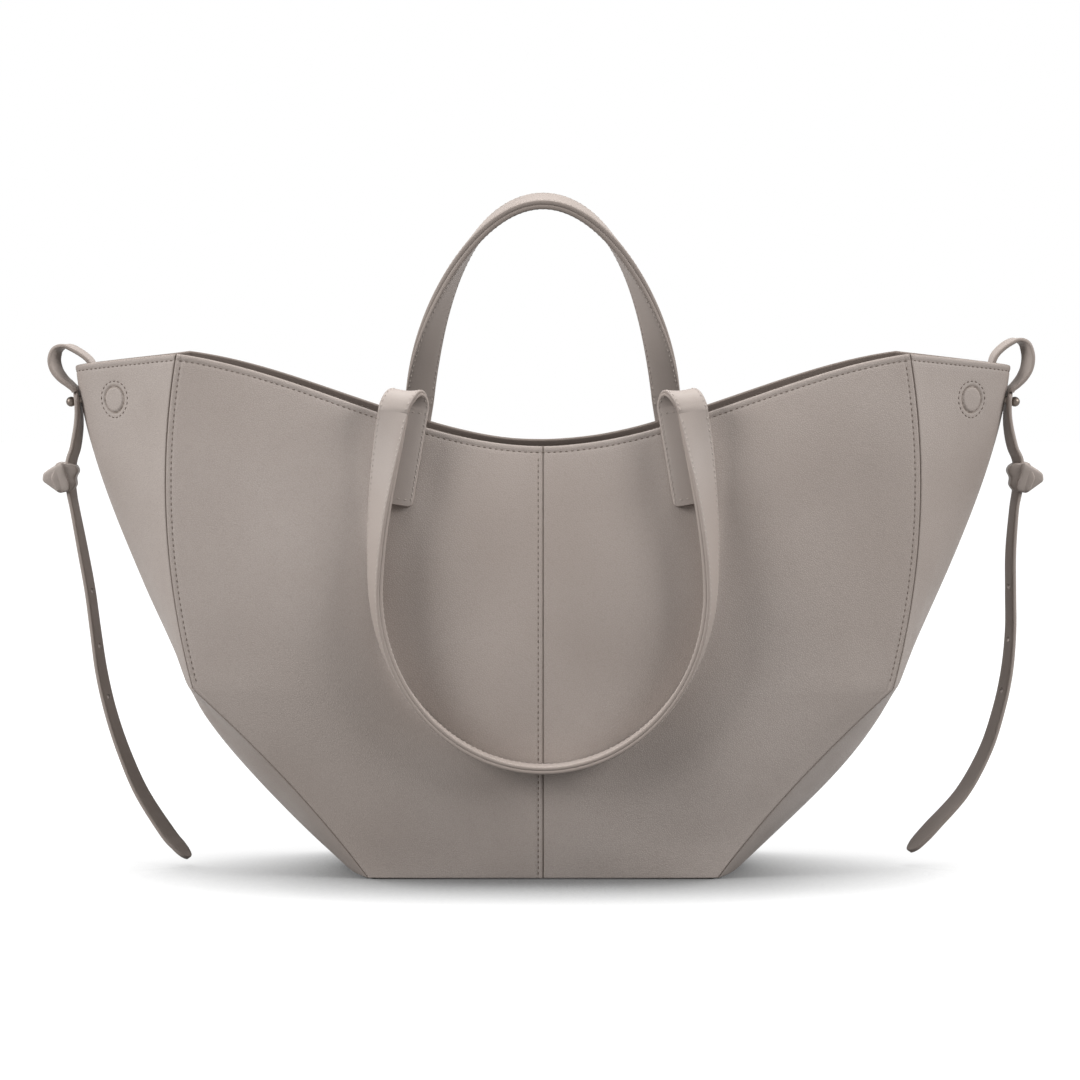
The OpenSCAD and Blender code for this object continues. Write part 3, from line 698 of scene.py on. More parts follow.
def wing_panel(hand, hand_name):
    w, s = np.broadcast_arrays(WING_W[None, :], WING_S[:, None])
    normal = normal_of(wing, w, s)
    skin = wing(w, s) + normal * wing_sag(w, s, hand)[..., None]
    seam, foot, top = (1 - np.abs(w)) * WING_HALF, s * FOOT_RISE, (1 - s) * RIM_RISE
    drop = np.maximum(np.maximum(shoulder(seam, 1.1), shoulder(foot, 0.8)), shoulder(top, 0.9))
    relief = sewn(top, RIM_ROW) * 0.8 * soft(top / 0.9)
    # wear at the seams and rim, plus a little painted shade along the rounded fold in the middle of the wing
    edge_tone = SEAM_WORN * np.exp(-seam / 0.5) + RIM_WORN * np.exp(-top / 0.7) + 0.2 * np.exp(-(w / 0.03) ** 2)
    for sign in (-1, 1):
        away = np.linalg.norm(wing(w, s) - wing(sign * SNAP_W, SNAP_S), axis=-1)
        relief = relief - SNAP_DEEP * np.exp(-((away - SNAP_R) / 0.5) ** 2)
        relief = relief + SNAP_LIFT * soft((7.2 - away) / 1.2) - channel(away, 10, 0.18)
        # the pressed ring also gets the darker edge colour: painted shade in its groove
        edge_tone = edge_tone + 1.1 * np.exp(-((away - SNAP_R) / 0.55) ** 2)
    way = wing_way(w, s)
    outer = skin + normal * relief[..., None] - way * drop[..., None]
    inner = skin - way * (THICK - shoulder(top, 0.5))[..., None]
    mirror = np.array([hand, 1.0, 1.0])
    piece = leather_sheet(f"wing_leather_{hand_name}", outer * mirror, inner * mirror, np.clip(edge_tone, 0, 1),
                          np.exp(-top / 0.7))
    finish_piece(piece, body_leather, replaces=[f"wing_{hand_name}"])


for hand, hand_name in HANDS:
    wing_panel(hand, hand_name)

# %% [markdown]
# ## Base
# The base is a flat piece set between the four walls. Its edge rolls up to meet them.

# %% Base
BASE_HALF = 100
base_g = both_ways(spread(1.0, [0], 14, [d / GUSSET_HALF for d in ROLL + [2, 5]]))
base_p = both_ways(spread(1.0, [0], 24, [d / BASE_HALF for d in ROLL + [2, 5]]))
base_p, base_g = np.broadcast_arrays(base_p[None, :], base_g[:, None])
base_side = gusset(base_g, np.zeros_like(base_g))
base_x, base_y = base_p * (base_side[..., 0] - 2.0), base_side[..., 1] * (1 - 2.1 / 62)
near = np.minimum((1 - np.abs(base_g)) * GUSSET_HALF, (1 - np.abs(base_p)) * BASE_HALF)
base_low = np.stack([base_x, base_y, shoulder(near, 0.8) + 0.25 * soft(near / 14)], -1)
base_high = np.stack([base_x, base_y, np.full_like(base_x, THICK)], -1)
base_piece = leather_sheet("base_leather", base_low, base_high, np.exp(-near / 0.8), np.zeros_like(base_x))
finish_piece(base_piece, body_leather, replaces=["base_panel"])

# %% [markdown]
# ## Facings
# Inside the rim a narrow strip of smooth leather backs the panels, so that the rim looks finished and
# holds its stitches. It follows the sagging skin at the thickness of the panel.

# %% Facings
FACE_OUT, FACE_IN, FACING_H = THICK + 0.02, THICK + 1.25, 9
FACING_ROWS = np.array([0, 0.2, 0.6, 1.2, 3, 4.8, 5.5, 6.2, 7.4, 8.1, 8.5, 8.8, 9])[:, None]


def facing(name, point, way, node):
    up = FACING_ROWS
    below = FACING_H - up
    thin = np.maximum(shoulder(np.minimum(up, below), 0.6), channel(below, RIM_ROW, 0.14))
    edge_tone = np.broadcast_to(np.exp(-below / 0.8), point.shape[:2])
    piece = leather_sheet(name, point - way * FACE_OUT, point - way * (FACE_IN - thin)[..., None], edge_tone, edge_tone,
                          inside=0.0)
    # the darker inside leather paints the shade inside the rim
    finish_piece(piece, inner_leather, replaces=[node])


def front_facing(side, side_name):
    u = both_ways(spread(1.0, [0, 0.004], 30, [0, 0.004, 0.02]))[None, :]
    u, v = np.broadcast_arrays(u, 2 - (FACING_H - FACING_ROWS) / (rim_h(u) - FOOT_H))
    point, _ = front_skin(u, v, side)
    way = front_way(np.abs(u), v) * np.stack([np.where(u < 0, -1.0, 1.0), np.full_like(u, side), np.ones_like(u)], -1)
    way[..., 0] *= np.where(np.abs(u) < 0.02, 0.0, 1.0)
    facing(f"rim_facing_{side_name}_leather", point, way, f"rim_facing_{side_name}")


def wing_facing(hand, hand_name):
    for sign, half_name in ((-1, "front"), (1, "back")):
        w = sign * (spread(0.75, [0], 26, [0, 0.004, 0.02]) + 0.25)[None, :]
        w, s = np.broadcast_arrays(w, 1 - (FACING_H - FACING_ROWS) / (lerp(TIP_H, SEAM_H, np.abs(w)) - FOOT_H))
        point, _ = wing_skin(w, s, hand)
        way = wing_way(w, s) * np.array([hand, 1.0, 1.0])
        facing(f"rim_facing_wing_{hand_name}_{half_name}", point, way, f"rim_facing_wing_{hand_name}")


for side, side_name in SIDES:
    front_facing(side, side_name)
for hand, hand_name in HANDS:
    wing_facing(hand, hand_name)

# %% [markdown]
# ## Straps
# The handles are two layers of leather glued back to back and stitched along both edges. A strap is
# one cross-section carried along a path: a flat, faintly padded face, a channel for the stitches, a
# rounded painted edge, and a groove where the two layers meet. A curve with a bevel object could carry
# it too, but then the twist couldn't be set point by point, so the rings are placed in code.


# %% Strap helper
def quarter_to_ring(quarter):
    """The top right quarter of a section, from the middle to the edge, made into the whole ring."""
    q = np.array(quarter, float)
    right = np.concatenate([q, (q * [1, -1, 1])[::-1][1:]])
    left = (right * [-1, 1, 1])[::-1][1:-1]
    return np.concatenate([right, left])


# each point is its place across and up from the middle, and how much edge paint it has
HANDLE_T = 4.5
HANDLE_RING = quarter_to_ring([
    (0, 2.25, 0), (3.2, 2.25, 0), (5.4, 2.21, 0), (6.3, 2.1, 0), (6.9, 1.98, 0), (7.4, 2.06, 0),
    (7.8, 1.97, 0.35), (8.07, 1.72, 0.95), (8.2, 1.3, 1), (8.25, 0.8, 1), (8.14, 0.3, 1), (7.9, 0, 1)])
TIE_W, TIE_T = 11, 2.6
TIE_RING = quarter_to_ring([
    (0, 1.3, 0), (2.4, 1.3, 0), (4.2, 1.27, 0.05), (4.95, 1.15, 0.6), (5.3, 0.9, 1), (5.46, 0.5, 1), (5.5, 0, 1)])
STITCH_A = 6.9
print("handle section", len(HANDLE_RING), "points, tie section", len(TIE_RING), "points")


def strap_frames(path, across):
    """Direction along, across and up from the strap at each point of its path."""
    path = np.asarray(path, float)
    along = unit(np.gradient(path, axis=0))
    across = np.asarray(across, float)
    across = unit(across - along * np.sum(across * along, -1, keepdims=True))
    return path, along, across, np.cross(along, across)


def ring_faces(count, size):
    """The faces of a closed tube: quads between count rings of size points, and a cap on each end."""
    index = np.arange(count * size).reshape(count, size)
    after = np.roll(index, -1, axis=1)
    quads = np.stack([index[:-1], after[:-1], after[1:], index[1:]], -1).reshape(-1, 4).tolist()
    return quads + [index[0][::-1].tolist(), index[-1].tolist()]


def sweep(name, path, across, ring, share=1.0, swell=1.0):
    """A ring carried along a path. share scales its width and swell its thickness, point by point."""
    path, along, across, up = strap_frames(path, across)
    share, swell = (np.ones((len(path), 1)) * np.reshape(scale, (-1, 1)) for scale in (share, swell))
    points = (path[:, None] + across[:, None] * (ring[:, 0] * share)[..., None]
              + up[:, None] * (ring[:, 1] * swell)[..., None])
    piece = mesh_piece(name, points.reshape(-1, 3), ring_faces(len(path), len(ring)))
    paint(piece.data, "edge", np.tile(ring[:, 2], len(path)))
    normals_out(piece)
    print(name, len(piece.data.polygons), "faces")
    return piece


def smooth_rows(rows, step):
    """A Catmull-Rom curve through rows of numbers, sampled about every step along the first three."""
    rows = np.asarray(rows, float)
    ends = np.concatenate([2 * rows[:1] - rows[1:2], rows, 2 * rows[-1:] - rows[-2:-1]])
    out = [rows[:1]]
    for k in range(1, len(ends) - 2):
        a, b, c, d = ends[k - 1:k + 3]
        count = max(2, int(round(np.linalg.norm((c - b)[:3]) / step)))
        t = (np.arange(1, count + 1) / count)[:, None]
        out.append(0.5 * (2 * b + (c - a) * t + (2 * a - 5 * b + 4 * c - d) * t ** 2
                          + (3 * b - a - 3 * c + d) * t ** 3))
    return np.concatenate(out)


# %% [markdown]
# ## Stitches
# A stitch is modelled once: a small ball pulled out into a grain of thread. Rows of stitches are
# copies of it, laid a little over three millimetres apart along a line and pressed halfway into the
# leather. All the stitches of one seam make one mesh.

# %% Stitch helper
STITCH_SIZE, STITCH_PITCH = (0.95, 0.36, 0.3), 3.2
deselect()
bpy.ops.mesh.primitive_uv_sphere_add(segments=6, ring_count=5, radius=1)
stitch_model = bpy.context.object
bpy.ops.object.mode_set(mode="EDIT")
bpy.ops.mesh.select_all(action="SELECT")
bpy.ops.transform.resize(value=STITCH_SIZE)
bpy.ops.object.mode_set(mode="OBJECT")
STITCH_POINTS = np.array([vertex.co for vertex in stitch_model.data.vertices])
STITCH_FACES = [list(face.vertices) for face in stitch_model.data.polygons]
bpy.data.objects.remove(stitch_model)
print("a stitch has", len(STITCH_POINTS), "points")


def stitch_places(line, up, pitch):
    """Centre, direction and outward way of each stitch along a line."""
    line, up = np.asarray(line, float), np.asarray(up, float)
    gone = np.concatenate([[0], np.cumsum(np.linalg.norm(np.diff(line, axis=0), axis=1))])
    count = max(1, int(round(gone[-1] / pitch)))
    middle = (np.arange(count) + 0.5) * gone[-1] / count

    def at(values, where):
        return np.stack([np.interp(where, gone, values[:, axis]) for axis in range(3)], -1)

    return at(line, middle), unit(at(line, middle + 0.8) - at(line, middle - 0.8)), unit(at(up, middle))


def lay_stitches(name, rows, body="bag", pitch=STITCH_PITCH, material=thread):
    """rows is a list of (line, outward direction at each point), in millimetres."""
    centre, along, up = (np.concatenate(part) for part in zip(*(stitch_places(*row, pitch) for row in rows)))
    across = unit(np.cross(up, along))
    ways = np.stack([along, across, np.cross(along, across)], 1)
    points = centre[:, None] + np.einsum("pa,sac->spc", STITCH_POINTS, ways)
    size = len(STITCH_POINTS)
    faces = [[k * size + i for i in face] for k in range(len(centre)) for face in STITCH_FACES]
    piece = mesh_piece(name, points.reshape(-1, 3), faces)
    print(name, len(centre), "stitches")
    return finish_piece(piece, material, body=body, angle=80)


# %% [markdown]
# The body's stitches: along the rim inside and out, beside the middle seams, beside the wing seams,
# and a ring around each snap. Each row lies on the skin, sunk into its channel.

# %% Body stitches
SEAM_SINK, RIM_SINK, RING_SINK, INNER_SINK = 0.27, 0.21, 0.09, FACE_IN - 0.1
RING_R, RING_PITCH = 10, 3.0


def skin_row(skin, p, q, third, sink, facing_out=1):
    """A line at a depth below a skin, and the way its stitches face: 1 is out, -1 is into the bag."""
    point, normal = skin(p, q, third)
    return point - normal * sink, normal * facing_out


for side, side_name in SIDES:
    u = np.linspace(-0.992, 0.992, 400)
    v = 2 - RIM_ROW / (rim_h(u) - FOOT_H)
    lay_stitches(f"rim_stitches_{side_name}", [skin_row(front_skin, u, v, side, RIM_SINK)])
    lay_stitches(f"rim_inner_stitches_{side_name}", [skin_row(front_skin, u, v, side, INNER_SINK, -1)])
    v = np.linspace(0.015, 2 - 6 / (MOUTH_H - FOOT_H), 300)
    lay_stitches(f"middle_stitches_{side_name}",
                 [skin_row(front_skin, -CENTRE_ROW / edge_x(v), v, side, SEAM_SINK)])
    v = np.linspace(1.02, 2 - 6 / (SEAM_H - FOOT_H), 300)
    lay_stitches(f"wing_seam_stitches_{side_name}",
                 [skin_row(front_skin, sign * (1 - EDGE_ROW / edge_x(v)), v, side, SEAM_SINK)
                  for sign in (-1, 1)])


def snap_circle(sign):
    """The wing coordinates of a circle around a snap."""
    centre_w, probe = sign * SNAP_W, 0.01
    step_w = (wing(centre_w + probe, SNAP_S) - wing(centre_w - probe, SNAP_S)) / (2 * probe)
    step_s = (wing(centre_w, SNAP_S + probe) - wing(centre_w, SNAP_S - probe)) / (2 * probe)
    turn = np.linspace(0, 2 * math.pi, 121)[:, None]
    first = unit(step_w)
    second = np.cross(normal_of(wing, centre_w, SNAP_S), first)
    circle = RING_R * (np.cos(turn) * first + np.sin(turn) * second)
    shift = circle @ np.linalg.pinv(np.stack([step_w, step_s], -1)).T
    return centre_w + shift[:, 0], SNAP_S + shift[:, 1]


for hand, hand_name in HANDS:
    w = np.linspace(-0.985, 0.985, 300)
    row_s = 1 - RIM_ROW / RIM_RISE
    lay_stitches(f"wing_rim_stitches_{hand_name}", [skin_row(wing_skin, w, row_s, hand, RIM_SINK)])
    lay_stitches(f"wing_rim_inner_stitches_{hand_name}",
                 [skin_row(wing_skin, sign * np.linspace(0.27, 0.97, 120), row_s, hand, INNER_SINK, -1)
                  for sign in (-1, 1)])
    lay_stitches(f"snap_ring_stitches_{hand_name}",
                 [skin_row(wing_skin, *snap_circle(sign), hand, RING_SINK) for sign in (-1, 1)], pitch=RING_PITCH)

# %% [markdown]
# ## Snap covers
# Inside each wing a small moulded leather cap holds the magnet. A half profile spun round the snap's
# axis gives it, with a flat flange that is glued down and a dome over the magnet.

# %% Snap covers
snap_out = normal_of(wing, -SNAP_W, SNAP_S)
snap_seat = wing(-SNAP_W, SNAP_S) - snap_out * (THICK + 0.9)
COVER_PROFILE = [(6.55, 0.0), (11.6, 0.0), (12.0, 0.3), (11.95, 0.75), (11.6, 1.0), (8.8, 1.0), (8.1, 1.15),
                 (7.7, 1.6), (7.5, 2.6), (7.2, 3.1), (6.6, 3.35), (3.5, 3.45), (0.0, 3.45), (0.0, 2.35),
                 (6.3, 2.35), (6.55, 2.1)]


def snap_cover(hand, side, name, node):
    count = len(COVER_PROFILE)
    piece = mesh_piece(name, [(r, 0, h) for r, h in COVER_PROFILE], [],
                       [(k, (k + 1) % count) for k in range(count)], scale=1)
    activate(piece)
    bpy.ops.object.mode_set(mode="EDIT")
    bpy.ops.mesh.select_all(action="SELECT")
    bpy.ops.mesh.spin(steps=56, angle=2 * math.pi, center=(0, 0, 0), axis=(0, 0, 1))
    bpy.ops.mesh.select_all(action="SELECT")
    bpy.ops.mesh.remove_doubles(threshold=0.001)
    bpy.ops.object.mode_set(mode="OBJECT")
    turn = Vector((0, 0, 1)).rotation_difference(Vector(-snap_out)).to_matrix().to_4x4()
    mirror = Matrix.Diagonal((hand, side, 1, 1))
    piece.data.transform(Matrix.Scale(MM, 4) @ mirror @ Matrix.Translation(Vector(snap_seat)) @ turn)
    normals_out(piece)
    # the darker inside leather paints the shade inside the wing
    finish_piece(piece, inner_leather, replaces=[node], angle=35)
    print(name, len(piece.data.polygons), "faces")


for hand, hand_name in HANDS:
    for side, side_name in SIDES:
        snap_cover(hand, side, f"snap_cap_{hand_name}_{side_name}", f"snap_cover_{hand_name}_{side_name}")

# %% [markdown]
# ## Handle tabs
# The ends of both handles lie flat on the outside of the bag, sewn along their edges, across the foot
# and once more just under the bend. Their path is laid on the sagging skin, so they follow its swell.

# %% Handle tabs
TAB_FOOT, TAB_TOP = np.array([79, 0, 203.5]), np.array([70.5, 0, 254.5])
TAB_DIR = unit(TAB_TOP - TAB_FOOT)
TAB_ACROSS = np.array([TAB_DIR[2], 0, -TAB_DIR[0]])
TAB_LEN = float(np.linalg.norm(TAB_TOP - TAB_FOOT))
SEAT, TOP_SEAT, SEAT_RISES_AT = 0.12, 0.3, 40
STITCH_UP, CROSS_UP, CROSS_REACH = 2.02, 2.2, 5.6


def tab_skin(a, b, side):
    """Place and normal on the skin, a across the tab and b up it. side 1 is the front."""
    a, b = np.broadcast_arrays(np.asarray(a, float), np.asarray(b, float))
    spot_at = TAB_FOOT + TAB_ACROSS * a[..., None] + TAB_DIR * b[..., None]
    x, z = spot_at[..., 0], spot_at[..., 2]
    u0 = x / seam_x((z - FOOT_H) / (SEAM_H - FOOT_H))
    v0 = 1 + (z - FOOT_H) / (rim_h(u0) - FOOT_H)
    u = x / edge_x(v0)
    return front_skin(u, 1 + (z - FOOT_H) / (rim_h(u) - FOOT_H), side)


def tab_route(side, b):
    """Middle line, direction across and normal of a tab's strap, at the heights b up the tab."""
    point, normal = tab_skin(0 * b, b, side)
    above = np.where(b > SEAT_RISES_AT, lerp(SEAT, TOP_SEAT, soft((b - SEAT_RISES_AT) / 10)), SEAT)
    left, _ = tab_skin(0 * b - 1, b, side)
    right, _ = tab_skin(0 * b + 1, b, side)
    return point + normal * (above + HANDLE_T / 2)[:, None], right - left, normal


def strap_rows(path, across, faces, along_part, height=STITCH_UP):
    """Stitch rows along both edges of the named faces of a strap."""
    path, along, across, up = strap_frames(path, across)
    height = np.ones((len(path), 1)) * np.reshape(height, (-1, 1))
    return [((path + across * (edge * STITCH_A) + up * face * height)[along_part], (up * face)[along_part])
            for face in faces for edge in (-1, 1)]


def handle_tab(hand, side, hand_name, side_name):
    b = np.concatenate([[0, 0.25, 0.7, 1.3, 2.1], np.linspace(3.2, TAB_LEN, 30)])
    share = np.concatenate([[0.72, 0.82, 0.91, 0.97, 0.995], np.ones(30)])
    path, across, normal = (rows * np.array([hand, 1.0, 1.0]) for rows in tab_route(side, b))
    name = f"{side_name}_handle_tab_{hand_name}"
    piece = sweep(f"{name}_strap", path, across, HANDLE_RING, share)
    finish_piece(piece, strap_leather, replaces=[name])
    _, _, wide, up = strap_frames(path, across)
    face = np.sign(np.sum(up[10] * normal[10]))
    rows = strap_rows(path, across, (face,), slice(4, None))
    # one row across the foot and one just under the bend
    for at in (int(np.argmin(np.abs(b - 3.0))), len(b) - 2):
        a = np.linspace(-CROSS_REACH, CROSS_REACH, 12)[:, None]
        rows.append((path[at] + wide[at] * a + up[at] * face * CROSS_UP, np.tile(up[at] * face, (12, 1))))
    lay_stitches(f"{name}_stitches", rows, material=strap_thread)
    return path[-1], unit(across[-1])


tab_ends = {(hand, side): handle_tab(hand, side, hand_name, side_name)
            for side, side_name in SIDES for hand, hand_name in HANDS}
print("tab tops at", {key: value[0].round(2).tolist() for key, value in tab_ends.items()})

# %% [markdown]
# ## Backing patches
# Behind each tab a patch of thin leather spreads the pull of the stitches. It is a small sheet like the
# facings, with a row of stitches round its edge.

# %% Backing patches
PATCH_A = np.concatenate([[-13, -12.8, -12.4, -11.8], np.linspace(-11, 11, 16), [11.8, 12.4, 12.8, 13]])
PATCH_B = np.concatenate([[-4, -3.8, -3.4, -2.8], np.linspace(-2, 29, 18), [29.8, 30.4, 30.75, 30.95]])
PATCH_ROW = 2.2
ROW_A, ROW_LOW, ROW_HIGH = PATCH_A[-1] - PATCH_ROW, PATCH_B[0] + PATCH_ROW, PATCH_B[-1] - PATCH_ROW
PATCH_CORNERS = [(-ROW_A, ROW_LOW), (ROW_A, ROW_LOW), (ROW_A, ROW_HIGH), (-ROW_A, ROW_HIGH), (-ROW_A, ROW_LOW)]


def backing(hand, side, hand_name, side_name):
    a, b = np.broadcast_arrays(PATCH_A[None, :], PATCH_B[:, None])
    point, normal = tab_skin(a, b, side)
    near = np.minimum(PATCH_A[-1] - np.abs(a), np.minimum(b - PATCH_B[0], PATCH_B[-1] - b))
    thin = np.maximum(shoulder(near, 0.7), channel(near, PATCH_ROW, 0.14))
    mirror = np.array([hand, 1.0, 1.0])
    name = f"{side_name}_handle_backing_{hand_name}"
    edge_tone = np.exp(-near / 0.6)
    piece = leather_sheet(f"{name}_patch", (point - normal * FACE_OUT) * mirror,
                          (point - normal * (FACE_IN - thin)[..., None]) * mirror, edge_tone, edge_tone, inside=0.0)
    # the darker inside leather paints the shade inside the bag
    finish_piece(piece, inner_leather, replaces=[name])
    rows = []
    for (a0, b0), (a1, b1) in zip(PATCH_CORNERS, PATCH_CORNERS[1:]):
        line, out = tab_skin(np.linspace(a0, a1, 30), np.linspace(b0, b1, 30), side)
        rows.append(((line - out * (FACE_IN - 0.12)) * mirror, -out * mirror))
    lay_stitches(f"{name}_stitches", rows)


for side, side_name in SIDES:
    for hand, hand_name in HANDS:
        backing(hand, side, hand_name, side_name)

# %% [markdown]
# ## Front handle
# The long handle hangs down over the front. Its strap bends over the tabs, turns edge-on as it comes
# down, and closes in a round loop. The stretch over each tab bends when the handle is lifted; here it is
# a piece of its own.

# %% Front handle
BEND_R, PIVOT_Y, PIVOT_Z = 6.0, -58.258, 257.5
BEND_LEAD, BEND_STEP = 1.6, 0.8
LEG_SHARE, SPREAD, BOTTOM, BOWL, SWAY = 0.4, 181, 62.0, 100, 16.5
tab_end, tab_width = tab_ends[1, 1]
leg_top = np.array([81, PIVOT_Y - BEND_R, TAB_TOP[2]])


def front_path(k):
    """The handle's middle line, from -1 at the left tab over 0 at the bottom to 1 at the right tab."""
    k = np.atleast_1d(np.asarray(k, float))
    f = (1 - np.abs(k)) / LEG_SHARE
    leg = np.stack([np.sign(k) * lerp(leg_top[0], SPREAD / 2, np.sin(np.radians(90 * np.clip(f, 0, 1)))),
                    lerp(leg_top[2], BOTTOM + BOWL, f)], -1)
    a = np.radians(90 * k / (1 - LEG_SHARE))
    bowl = np.stack([SPREAD / 2 * np.sin(a), BOTTOM + BOWL - BOWL * np.cos(a)], -1)
    xz = np.where((np.abs(k) > 1 - LEG_SHARE)[:, None], leg, bowl)
    drop = (leg_top[2] - xz[:, 1]) / (leg_top[2] - BOTTOM)
    return np.stack([xz[:, 0], leg_top[1] - SWAY * np.sin(np.radians(90 * drop)), xz[:, 1]], -1)


def front_width(k):
    """The direction across the strap. It turns from edge-on at the bottom to flat at the tabs."""
    k = np.atleast_1d(np.asarray(k, float))
    r = (front_path(k)[:, 2] - BOTTOM) / (leg_top[2] - BOTTOM)
    turn = np.radians(85 * (0.25 * r + 0.75 * np.clip(r, 0, 1) ** 3.2))
    sign = np.where(k < 0, -1.0, 1.0)
    return np.stack([sign * np.sin(turn), np.cos(turn), 0 * turn], -1)


def swinging_part(side_name, path, across, swell=1.0):
    """The part of a handle that swings, and its stitches."""
    body = f"{side_name}_handle"
    strap = sweep(f"{body}_strap", path, across, HANDLE_RING, swell=swell)
    finish_piece(strap, strap_leather, body, [f"{body}_outer", f"{body}_inner"])
    rows = strap_rows(path, across, (-1, 1), slice(2, -2), STITCH_UP * swell)
    lay_stitches(f"{body}_stitches", rows, body, material=strap_thread)


k = np.linspace(-1, 1, 281)
swinging_part("front", front_path(k), front_width(k))

# %% [markdown]
# The bend over a tab starts along the tab and ends along the handle's leg.


# %% Bends of the front handle
def tab_run(side):
    """The direction in which the strap leaves the top of a tab."""
    path, _, _ = tab_route(side, np.array([TAB_LEN - 1.0, TAB_LEN]))
    return unit(path[1] - path[0])


def bend_row(place, width):
    return np.concatenate([place, width])


def handle_bends(side_name, rows):
    """Both bends of a handle, from rows for the right one. They lie along the tab at the start and along the handle's
    leg at the end.
    """
    for hand, hand_name in HANDS:
        mirror = np.array([hand, 1.0, 1.0])
        path, across = rows[:, :3] * mirror, rows[:, 3:] * mirror
        node = f"{side_name}_handle_bend_{hand_name}"
        strap = sweep(f"{node}_strap", path, across, HANDLE_RING)
        finish_piece(strap, strap_leather, None, [node])
        stitches = lay_stitches(f"{node}_strap_stitches", strap_rows(path, across, (-1, 1), slice(1, -1)),
                                None, material=strap_thread)
        for part in (strap, stitches):
            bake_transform(part)


leg_run, leg_width = unit(front_path(1.0)[0] - front_path(1 - 1 / 22)[0]), front_width(1.0)[0]
front_run = tab_run(1)
bend_rise = PIVOT_Z - TAB_TOP[2] + BEND_R
bend_start = front_run / front_run[2] * bend_rise * math.pi
bend_end = leg_run / leg_run[2] * -bend_rise * math.pi
part = np.linspace(0.14, 0.86, 13)[:, None]
over = np.concatenate([lerp(TAB_TOP[0], leg_top[0], part * part * (3 - 2 * part)),
                       PIVOT_Y + BEND_R * np.cos(math.pi * part), TAB_TOP[2] + bend_rise * np.sin(math.pi * part)], 1)
over[:, :2] += bend_start[:2] * part * (1 - part) ** 2 - bend_end[:2] * part ** 2 * (1 - part)
front_rows = smooth_rows([
    bend_row(tab_end, tab_width), bend_row(tab_end + front_run * BEND_LEAD, tab_width),
    *np.concatenate([over, lerp(tab_width, leg_width, part)], 1),
    bend_row(leg_top + leg_run * BEND_LEAD, leg_width), bend_row(leg_top, leg_width)], BEND_STEP)
handle_bends("front", front_rows)

# %% [markdown]
# ## Back handle
# The short handle stands up from the back and leans forward over the mouth. At its top the strap turns
# edge-on, as a stiff strap does when it is forced round a tight arch, and its padding swells there.

# %% Back handle
LEAN, ARCH_RISE, MIX, ARCH_SWELL = math.radians(16), 113.0, 0.35, 0.35
back_end, back_width = tab_ends[1, -1]
back_run = tab_run(-1)
foot_way = unit([-MIX / 2 * TAB_TOP[0] / ARCH_RISE, -math.sin(LEAN), math.cos(LEAN)])
back_foot = back_end + unit(back_run + foot_way) * 6


def arch(turn):
    """The middle line, a mix of half an ellipse and a wider arch, from -90 to 90 degrees."""
    height = ARCH_RISE * np.cos(turn)
    x = back_foot[0] * ((1 - MIX) * np.sin(turn) + MIX * math.sqrt(2) * np.sin(turn / 2))
    return np.stack([x, back_foot[1] - height * math.sin(LEAN), back_foot[2] + height * math.cos(LEAN)], -1)


def arch_width(turn):
    a = np.radians(90 * (1 - np.cos(turn)) ** 1.3)
    return np.stack([-np.sign(turn) * np.sin(a), np.cos(a) * math.cos(LEAN), np.cos(a) * math.sin(LEAN)], -1)


turns = np.radians(np.linspace(-90, 90, 241))
arch_path = arch(turns)
swinging_part("back", arch_path, arch_width(turns), 1 + ARCH_SWELL * soft(np.cos(turns) / 0.8))
foot_run = unit(arch_path[-2] - arch_path[-1])
back_rows = smooth_rows([
    bend_row(back_end, back_width), bend_row(back_end + back_run * BEND_LEAD, back_width),
    bend_row(back_foot - foot_run * BEND_LEAD, [1, 0, 0]), bend_row(back_foot, [1, 0, 0])], BEND_STEP)
handle_bends("back", back_rows)

# %% [markdown]
# ## Ties
# On each wing tip a flat strap comes out of the wing, loops over the rim, buttons onto a small stud and
# hangs down. A knot keeps it on the stud, and the tail below it has three punched holes and a tapered
# end.

# %% Tie routes
STUD_BELOW_TIP, STUD_GAP = 19, 0.3
STUD_S = 1 - STUD_BELOW_TIP / (TIP_H - FOOT_H)
stud_n = normal_of(wing, 0.0, STUD_S)
stud_p = np.array([float(fold_x(STUD_S)), 0, FOOT_H + STUD_S * (TIP_H - FOOT_H)])
seat_p = stud_p + stud_n * (STUD_GAP + TIE_T / 2)
fold_up = np.array([-stud_n[2], 0, stud_n[0]])
# Each row of a route is a place measured from the seat on the stud, outwards, backwards and up, then the
# strap's turn in degrees and, where it isn't full, its share of the width.
LOOP = {-1: [[-10.9, 0, 5.2, 4], [-9.9, 0, 12, 5], [-9.3, 0, 17, 7], [-6.6, 0, 22.5, 12], [-0.4, 0, 27.3, 18],
             [6, 0, 30, 24], [11, 0, 28.2, 28], [13, 0, 23, 30], [11.8, 0, 17.2, 30], [8.4, 0, 12.4, 26],
             [4.2, 0, 8.8, 20], [1.6, 0, 6.4, 14], [0.9, 0, 4.9, 12]],
        1: [[-10.9, 0, 5.2, 4], [-10, 0, 12, 5], [-9.6, 0, 18.5, 7], [-7.6, 0, 25, 12], [-2, 0, 30.6, 18],
            [4.2, 0, 33.4, 24], [9, 0, 31.2, 28], [11, 0, 25, 30], [10.4, 0, 18.4, 30], [7.8, 0, 13, 26],
            [4.2, 0, 8.8, 20], [1.6, 0, 6.4, 14], [0.9, 0, 4.9, 12]]}
STRAP = {-1: [[-0.5, 0, -7, 10], [-0.3, 0, -14, 15], [0.6, -0.3, -21, 19], [1.7, -0.5, -27, 21],
              [3.7, -0.6, -33.4, 22], [4.6, -0.7, -42, 19]],
         1: [[-0.3, 0, -7, 10], [0.2, 0, -14, 15], [1.4, -0.3, -21, 19], [3, -0.5, -27, 21],
             [5.6, -0.6, -33.2, 22], [6.4, -0.7, -42, 19]]}
